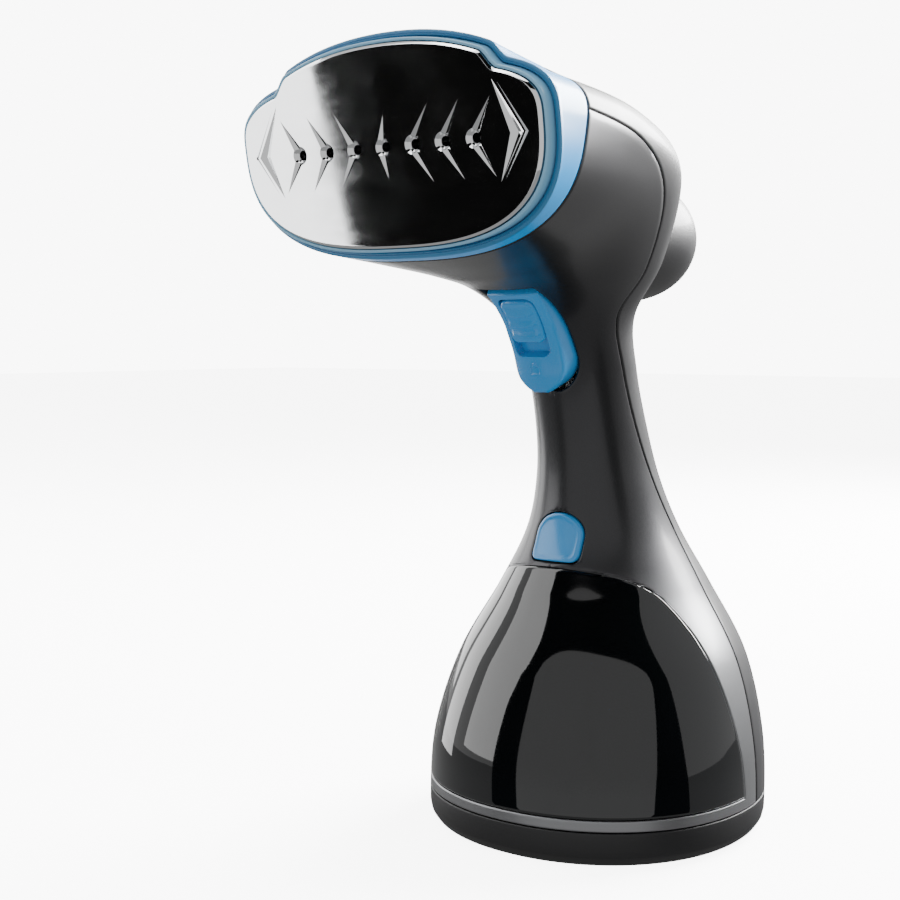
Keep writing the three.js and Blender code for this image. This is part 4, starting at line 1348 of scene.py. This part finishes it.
# ---------------------------------------------------------------- water tank
@dataclass
class Tank:
    """The smoked water tank in the base: its curved front wall, and the bent sheet behind it."""

    shop: Workshop
    wall: float = 2.0
    corner: float = 1.0
    across_count: int = 120
    up_count: int = 84

    def build(self) -> None:
        """Makes both walls."""
        self.build_front()
        self.build_back()

    def build_front(self) -> None:
        """The front wall: a patch of the skin blended between its four sides.

        The patch is (1 - t) floor(s) + t arch(s) + (1 - s) left(t) + s right(t) less the same blend of its
        corners, in rows and angles, with the samples closer together beside the edges.
        """
        skin = self.shop.skin
        rim = skin.row_at(skin.rim_top)
        edge = TankEdge(skin).on_skin(0.0, rim, 220)
        split = int(np.argmax(edge[:, 1] > self.corner))
        arch, side = edge[:split + 1], edge[split:][::-1]
        flip = np.array([1, -1])
        near = np.array([0, 0.0006, 0.002, 0.0045, 0.0075])

        def shares(count: int) -> Array:
            """Samples from 0 to 1, closer together at both ends."""
            return np.concatenate([near, np.linspace(near[-1], 1 - near[-1], count)[1:-1], 1 - near[::-1]])

        def sample(path: Array, share: Array) -> Array:
            """Points of a path at shares of its length."""
            line = skin.walk(path, 240)
            return np.stack([np.interp(share, np.linspace(0, 1, 240), line[:, k]) for k in range(2)], 1)

        s, t = shares(self.across_count), shares(self.up_count)
        reach = edge[-1, 1]
        floor = sample(np.array([[rim, -reach], [rim, 0], [rim, reach]]), s)[None]
        top = sample(np.concatenate([(arch * flip)[::-1], arch[1:]]), s)[None]
        right = sample(side, t)[:, None]
        left = right * flip
        s, t = s[None, :, None], t[:, None, None]
        corners = ((1 - s) * (1 - t) * left[:1] + s * (1 - t) * right[:1]
                   + (1 - s) * t * left[-1:] + s * t * right[-1:])
        uv = (1 - t) * floor + t * top + (1 - s) * left + s * right - corners
        surface = rounded_sheet([skin.patch(uv)], self.wall, 0.7)
        self.shop.piece("tank_wall", surface, Slot.TANK, "tank", ["tank_shell"])

    def build_back(self) -> None:
        """The back of the tank: straight lines across, down the tank's line and forward along its floor."""
        skin = self.shop.skin
        rim, depth = skin.row_at(skin.rim_top), self.wall + GAP
        edge = TankEdge(skin).on_skin(0.0, rim, 120, depth)
        down = skin.point(edge[:, 0], edge[:, 1]) - depth * skin.normal(edge[:, 0], edge[:, 1])
        v = np.linspace(edge[-1, 1], 0, 70)[1:]
        forward = skin.point(rim, v) - depth * skin.normal(rim, v)
        side = np.concatenate([down, forward])
        side[[0, -1], 0] = 0
        side[len(down):, 2] = skin.rim_top
        share = np.linspace(-1, 1, 41)
        grid = np.repeat(side[:, None], len(share), axis=1)
        grid[..., 0] *= share[None]
        line = np.gradient(side[:, 1:], axis=0)
        line /= np.linalg.norm(line, axis=1, keepdims=True)
        normal = np.stack([np.zeros(len(side)), -line[:, 1], line[:, 0]], 1)
        normals = np.repeat(normal[:, None], len(share), axis=1)
        surface = rounded_sheet([(grid, normals)], self.wall, 0.3)
        self.shop.piece("tank_inner_back", surface, Slot.TANK, "tank", ["tank_back"])


# ---------------------------------------------------------------- controls
@dataclass
class Controls:
    """The release button, the trigger and the lock slider on it."""

    shop: Workshop
    button: ButtonShape
    trigger: TriggerShape
    button_proud: float = 0.8
    button_back: float = -21.0
    channel: tuple[float, float] = (0.05, 0.66)
    channel_half: float = 7.3
    channel_depth: float = 3.2
    slider: tuple[float, float] = (0.08, 0.52)
    slider_half: float = 6.9
    corner: float = 3.0
    lock_at: float = 0.765  # share of the trigger's length where the padlock stands
    lock_depth: float = 0.3
    ridge_places: tuple[float, ...] = (0.3, 0.56, 0.82)
    ridge_height: float = 0.8
    ridge_bend: float = 0.035

    def build(self) -> None:
        """Makes the three controls."""
        self.build_button()
        self.build_trigger()
        self.build_slider()

    def build_button(self) -> None:
        """The button: its outline drawn in row by row over the skin, a bevelled rim round a shallow dish."""
        skin = self.shop.skin
        floor, side, arch = self.button.outline(0.0)
        right = np.concatenate([floor, side[1:], arch[1:]])
        dense = np.linspace(0, len(right) - 1, 400)
        right = np.stack([np.interp(dense, np.arange(len(right)), right[:, k]) for k in range(2)], 1)
        length = np.concatenate([[0], np.cumsum(np.linalg.norm(np.diff(right, axis=0), axis=1))])
        even = np.linspace(0, length[-1], 90)
        right = np.stack([np.interp(even, length, right[:, k]) for k in range(2)], 1)
        loop = np.concatenate([right, (right * np.array([-1, 1]))[::-1][1:-1]])
        middle = np.array([0.0, (self.button.bottom + self.button.spring + self.button.rise) / 2])
        rows = []
        for share, drop in (
            (0.0, 0.42), (0.25, 0.42), (0.5, 0.4), (0.7, 0.36), (0.8, 0.28), (0.84, 0.12), (0.865, 0.02),
            (0.89, 0.0), (0.92, 0.02), (0.955, 0.16), (0.98, 0.4), (0.995, 0.75), (1.0, 1.1),
        ):
            at = middle + (loop - middle) * share
            uv = skin.front_uv(at[:, 0], at[:, 1])
            point = skin.point(uv[:, 0], uv[:, 1])
            rows.append(np.stack([at[:, 0], point[:, 1] - self.button_proud - 0.05 + drop, at[:, 1]], 1))
        for y in (-24.0, self.button_back):
            rows.append(np.stack([loop[:, 0], np.full(len(loop), y), loop[:, 1]], 1))
        rows.append(np.broadcast_to(np.array([middle[0], self.button_back, middle[1]]), (len(loop), 3)))
        surface = tube_surface(np.stack(rows))
        self.shop.piece("release_face", surface, Slot.BLUE, "release", ["release_button"], sharp=40)

    def fine(self, start: float, stop: float, count: int) -> Array:
        """Samples between two values, closer together at both ends."""
        t = np.linspace(0, 1, count)
        return start + (stop - start) * (t - 0.06 * np.sin(2 * math.pi * t))

    def build_trigger(self) -> None:
        """The trigger: a crowned strip with rounded edges, the slider's channel and a padlock sunk in it."""
        shape = self.trigger
        t, across = self.fine(0, 1, 170), self.fine(-1, 1, 96)
        points, normals = shape.strip(t, across, shape.half)
        x = points[..., 0]
        length = np.concatenate([[0], np.cumsum(np.linalg.norm(np.diff(points[:, 48], axis=0), axis=1))])
        at = np.interp(self.channel, t, length)
        s = length[:, None] - (at[0] + at[1]) / 2
        beside = np.abs(x) - self.channel_half + self.corner
        beyond = np.abs(s) - (at[1] - at[0]) / 2 + self.corner
        far = np.sqrt(np.maximum(beside, 0) ** 2 + np.maximum(beyond, 0) ** 2)
        outside = far + np.minimum(np.maximum(beside, beyond), 0) - self.corner
        channel = self.channel_depth * smoothstep(-outside, 0.0, 0.5)
        lock_s = length[:, None] - np.interp(self.lock_at, t, length)
        lock = self.padlock(x, lock_s)
        rise = np.broadcast_to(shape.height(t)[:, None], x.shape) - channel - self.lock_depth * lock
        radius = np.broadcast_to((0.35 + 1.35 * np.clip(t / 0.35, 0, 1))[:, None], x.shape)
        surface = rounded_sheet([(points, normals)], shape.under, [radius], [rise])
        self.shop.piece("trigger_key", surface, Slot.BLUE, "trigger", ["trigger"], sharp=45)

    def padlock(self, x: Array, s: Array) -> Array:
        """Share of a small padlock sign: a square body with an arch over it, 1 inside and 0 outside."""
        soft = 0.16
        body = np.maximum(np.abs(x) - 1.75, np.abs(s - 1.0) - 1.3)
        arch = np.abs(np.hypot(x, np.minimum(s + 0.9, 0.0)) - 1.2) - 0.28
        arch = np.where(s < -0.2, arch, 9.0)
        return np.maximum(1 - smoothstep(body, -soft, soft), 1 - smoothstep(arch, -soft, soft))

    def build_slider(self) -> None:
        """The lock slider: a key in the channel with three curved ridges across it."""
        shape = self.trigger
        t, across = self.fine(*self.slider, 110), self.fine(-1, 1, 60)
        middle, _ = shape.strip(t, np.zeros(1), self.slider_half)
        length = np.concatenate([[0], np.cumsum(np.linalg.norm(np.diff(middle[:, 0], axis=0), axis=1))])
        span = length[-1]
        corner = rounded_drop(np.minimum(length, span - length), self.corner)
        points, normals = shape.strip(t, across, (self.slider_half - corner)[:, None])
        x = points[..., 0]
        ridges = np.zeros_like(x)
        inside = 1 - smoothstep(np.abs(x), 4.6, 6.0)
        for place in self.ridge_places:
            s = length[:, None] - span * place + self.ridge_bend * x ** 2
            ridges += self.ridge_height * smoothstep(s, -3.4, 0.0) * (1 - smoothstep(s, 0.0, 0.5)) * inside
        rise = np.broadcast_to(shape.height(t)[:, None] + 0.45, x.shape) + ridges
        thickness = -(shape.height(t)[:, None] - 0.9)
        under = np.broadcast_to(thickness, x.shape).ravel()[:, None]
        radius = np.full(x.shape, 0.9)
        surface = slab(points, normals, rise, under, radius)
        self.shop.piece("lock_key", surface, Slot.BLUE, "lock_slider", ["lock_slider"], sharp=45)


def slab(points: Array, normals: Array, rise: Array, under: Array, radius: Array) -> Surface:
    """A rounded sheet whose inner side lies at its own height under every point.

    Args:
        points: grid of points.
        normals: their normals.
        rise: height of the outer side over each point.
        under: depth of the inner side under each point, one row each.
        radius: radius of the edges at each point.

    Returns:
        The closed surface.
    """
    base = points - normals * under.reshape(*points.shape[:2], 1)
    return rounded_sheet([(base, normals)], 0.0, [radius], [rise + under.reshape(points.shape[:2])])


# ---------------------------------------------------------------- the works inside
@dataclass
class Works:
    """The carried-over parts: pump, chamber, tubes, electrics and screws, each in its own finish."""

    shop: Workshop
    finishes: dict[str, Slot] = field(default_factory=lambda: {
        "foot_pad": Slot.RUBBER, "base_screw": Slot.STEEL, "cover_screw": Slot.STEEL,
        "chamber_gasket": Slot.RUBBER, "steam_chamber": Slot.CAST, "chamber_screw": Slot.STEEL,
        "heating_element": Slot.STEEL, "thermostat": Slot.CAST, "thermal_fuse": Slot.NATURAL,
        "steam_inlet": Slot.BRASS, "head_frame": Slot.BLACK, "tank_plug": Slot.RUBBER,
        "outlet_valve": Slot.NATURAL, "tank_bay": Slot.BLACK, "valve_seat": Slot.RUBBER,
        "latch_hook": Slot.BLACK, "release_spring": Slot.STEEL, "button_guide": Slot.BLACK,
        "trigger_pin": Slot.STEEL, "trigger_spring": Slot.STEEL, "micro_switch": Slot.BLACK,
        "switch_bracket": Slot.NATURAL, "pump_body": Slot.NATURAL, "pump_coil": Slot.BLACK,
        "pump_mount": Slot.RUBBER, "suction_tube": Slot.NATURAL, "delivery_tube": Slot.NATURAL,
        "control_board": Slot.BOARD, "terminal_block": Slot.NATURAL,
    })

    def dress(self) -> None:
        """Gives every node that is still shown its finish."""
        for name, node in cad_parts.items():
            if node.hide_render:
                continue
            key = name.rstrip("0123456789").rstrip("_")
            material = self.shop.palette.get(self.finishes[key])
            for place in node.material_slots:
                place.material = material
            LOG.info("%s: carried over", name)


# ---------------------------------------------------------------- studio
ALL_BUT_GLOSSY = ("camera", "diffuse", "shadow", "transmission")


@dataclass(frozen=True)
class Glow:
    """A staging sheet's finish: a faintly mottled colour that gives off its own light.

    The light is white where even is 1, and mottled by noise down to even where it is less.
    """

    name: str
    low: Colour
    high: Colour
    strength: float
    roughness: float = 1.0
    specular: float = 0.0
    even: float = 1.0

    def build(self) -> bpy.types.Material:
        """Makes the material."""
        graph = Graph(self.name)
        graph.set(Base_Color=graph.mix(graph.noise(3.0, 1.0), self.low, self.high))
        graph.set(Roughness=self.roughness, Specular_IOR_Level=self.specular)
        level = graph.noise(4.0, 1.0) * 0.1 + self.even
        graph.set(Emission_Color=graph.mix(level, (0, 0, 0), (1, 1, 1)), Emission_Strength=self.strength)
        return graph.material


@dataclass(frozen=True)
class SoftBox:
    """A square lamp: its place, the point it faces, its two sides in metres and its power in watts."""

    name: str
    place: tuple[float, float, float]
    aim: tuple[float, float, float]
    size: tuple[float, float]
    power: float

    def build(self) -> None:
        """Hangs the lamp and turns it to its aim."""
        data = bpy.data.lights.new(self.name, "AREA")
        data.shape, data.size, data.size_y, data.energy = "RECTANGLE", *self.size, self.power
        lamp = bpy.data.objects.new(self.name, data)
        lamp.location = self.place
        ray = np.array(self.aim, float) - np.array(self.place, float)
        across = math.atan2(ray[1], ray[0])
        down = math.atan2(-ray[2], math.hypot(ray[0], ray[1]))
        lamp.rotation_euler = Euler((math.radians(90) - down, 0, across - math.radians(90)))
        bpy.context.scene.collection.objects.link(lamp)


@dataclass
class Studio:
    """Camera, plain pale floor, soft lights, and screens that only reflections see. Sizes are in metres."""

    camera_at: tuple[float, float, float] = (0.2993, -0.4730, 0.180)
    azimuth: float = 38.0
    pitch: float = 4.3
    lens: float = 60.0
    world: float = 0.75
    backdrop: float = 9.0
    floor_side: float = 6.0
    floor_glow: float = 7.0
    below_glow: float = 0.32
    below_depth: float = 0.32
    boxes: tuple[SoftBox, ...] = (
        SoftBox("left_box", (-1.3, 0.0, 0.5), (0, 0, 0.13), (0.5, 1.4), 8.0),
        SoftBox("back_box", (0.3, 1.1, 0.85), (0, 0, 0.22), (1.0, 0.8), 120.0),
        SoftBox("top_box", (-0.2, -0.5, 1.7), (0, 0, 0.1), (1.2, 1.2), 14.0),
    )
    screen_radius: float = 0.85
    screen_low: float = -0.9
    screen_top: float = 3.0
    arch_spring: float = 0.5
    arch_crown: float = 0.92
    arch_left: tuple[float, float] = (-20.0, -24.0)  # azimuths in degrees at the low end and the spring
    arch_right: tuple[float, float] = (64.0, 78.0)
    dark_left: tuple[float, float] = (-38.0, -31.0)  # azimuths at the two heights of lean
    lean: tuple[float, float] = (0.35, 0.6)
    dark_right: tuple[float, float] = (105.0, 88.0)  # azimuths at the low end and the crown
    white_near: float = -66.0
    white_far: tuple[float, float] = (-150.0, -104.0)

    def build(self) -> None:
        """Sets up the studio."""
        self.build_camera()
        self.build_world()
        self.build_floor()
        for box in self.boxes:
            box.build()
        self.build_screens()

    def build_camera(self) -> None:
        """The camera, looking a little down across the front right corner."""
        data = bpy.data.cameras.new("camera")
        data.lens, data.sensor_width, data.clip_start, data.clip_end = self.lens, 36.0, 0.01, 50.0
        camera = bpy.data.objects.new("camera", data)
        camera.location = self.camera_at
        camera.rotation_euler = Euler((math.radians(90 - self.pitch), 0, math.radians(self.azimuth)))
        bpy.context.scene.collection.objects.link(camera)
        bpy.context.scene.camera = camera

    def build_world(self) -> None:
        """An even surrounding that lights the object, which the camera sees as a brighter white backdrop."""
        world = bpy.data.worlds.new("studio")
        world.use_nodes = True
        tree, colour = world.node_tree, (1, 1, 1, 1)
        light = tree.nodes["Background"]
        feed(tree, light.inputs["Color"], colour)
        feed(tree, light.inputs["Strength"], self.world)
        white = add_node(tree, "ShaderNodeBackground", {}, {"Color": colour, "Strength": self.backdrop})
        seen = add_node(tree, "ShaderNodeLightPath", {}, {}).outputs["Is Camera Ray"]
        join = add_node(tree, "ShaderNodeMixShader", {}, {0: seen, 1: light.outputs[0], 2: white.outputs[0]})
        feed(tree, tree.nodes["World Output"].inputs[0], join.outputs[0])
        bpy.context.scene.world = world

    def sheet(
        self, name: str, points: Array, quads: Array, material: bpy.types.Material, unseen: Sequence[str]
    ) -> None:
        """A staging sheet.

        Args:
            name: name of the sheet.
            points: its points, in metres.
            quads: its faces.
            material: its finish.
            unseen: the kinds of ray that pass through it.
        """
        mesh = bpy.data.meshes.new(name)
        mesh.from_pydata(points.tolist(), [], quads.tolist())
        mesh.materials.append(material)
        made = bpy.data.objects.new(name, mesh)
        bpy.context.scene.collection.objects.link(made)
        for ray in unseen:
            setattr(made, "visible_" + ray, False)

    def build_floor(self) -> None:
        """A wide plain pale floor, and a dim sheet under it that reflections see in its place."""
        pale = Glow("floor_pale", (0.93, 0.93, 0.93), (0.95, 0.95, 0.95), self.floor_glow, 0.9, 0.5)
        dim = Glow("screen_below", (0.0, 0.0, 0.0), (0.01, 0.01, 0.01), self.below_glow)
        corners = self.floor_side * np.array([[-1, -1, 0], [1, -1, 0], [1, 1, 0], [-1, 1, 0]])
        face = np.array([[0, 1, 2, 3]])
        self.sheet("floor", corners, face, pale.build(), ("diffuse", "glossy", "transmission"))
        under = corners - [0, 0, self.below_depth]
        self.sheet("screen_below", under, face, dim.build(), ALL_BUT_GLOSSY)

    def build_screens(self) -> None:
        """A dark screen round the front with a grey arch in it and white panes on its left.

        Each is a sheet of a cylinder between two lines of azimuth and height. The dark screen is a left and
        a right post and the wall over the arch, and the arch's top is half an ellipse.
        """
        low, spring, crown, top = self.screen_low, self.arch_spring, self.arch_crown, self.screen_top
        count = 41

        def line(turn: Union[float, Array], height: Array) -> Array:
            """Azimuths and heights side by side."""
            return np.stack([np.broadcast_to(turn, height.shape), height], 1)

        def lean(height: Array) -> Array:
            """The left edge of the dark screen, where the white pane begins."""
            return line(np.interp(height, self.lean, self.dark_left), height)

        post = np.concatenate([np.linspace(low, spring, 20), np.linspace(spring, top, 12)[1:]])
        inner_left = np.interp(post, [low, spring], self.arch_left)
        inner_right = np.interp(post, [low, spring], self.arch_right)
        outer_right = np.interp(post, [low, crown], self.dark_right)
        over = np.linspace(self.arch_left[1], self.arch_right[1], count)
        across = np.linspace(-1, 1, count)
        arch = line(over, spring + (crown - spring) * np.sqrt(np.maximum(1 - across ** 2, 0)))
        foot = line(np.linspace(self.arch_left[0], self.arch_right[0], count), np.full(count, low))
        tall = np.linspace(low, top, 80)
        tall = tall[tall >= 0.0]
        sheets = {
            "screen_dark": (0.004, [
                (lean(post), line(inner_left, post)),
                (line(inner_right, post), line(outer_right, post)),
                (arch, line(over, np.full(count, top))),
            ]),
            "screen_arch": (0.75, [(foot, arch)]),
            "screen_white": (3.4, [
                (line(self.white_near, tall), lean(tall)),
                (line(self.white_far[0], tall), line(self.white_far[1], tall)),
            ]),
        }
        cols = 24
        for name, (strength, pairs) in sheets.items():
            points, quads, on = [], [], 0
            for start, stop in pairs:
                at = start[:, None] + (stop - start)[:, None] * np.linspace(0, 1, cols)[None, :, None]
                turn, height = np.radians(at[..., 0]), at[..., 1]
                wall = np.stack([np.sin(turn), -np.cos(turn), height / self.screen_radius], -1)
                points.append(self.screen_radius * wall.reshape(-1, 3))
                quads.append(grid_quads(len(start), cols) + on)
                on += len(start) * cols
            material = Glow(name, (0, 0, 0), (0, 0, 0), strength, even=0.95).build()
            self.sheet(name, np.concatenate(points), np.concatenate(quads), material, ALL_BUT_GLOSSY)


def main() -> None:
    """Builds the steamer's sub-assemblies in order, dresses the carried-over parts and sets up the studio."""
    logging.basicConfig(level=logging.INFO, format="%(name)s %(message)s")
    skin = Skin()
    shop = Workshop(skin, Palette())
    button, trigger = ButtonShape(), TriggerShape(skin)
    Studio().build()
    Casing(shop, button, trigger).build()
    SteamHead(shop).build()
    Tank(shop).build()
    Controls(shop, button, trigger).build()
    Works(shop).dress()


if __name__ == "__main__":
    main()
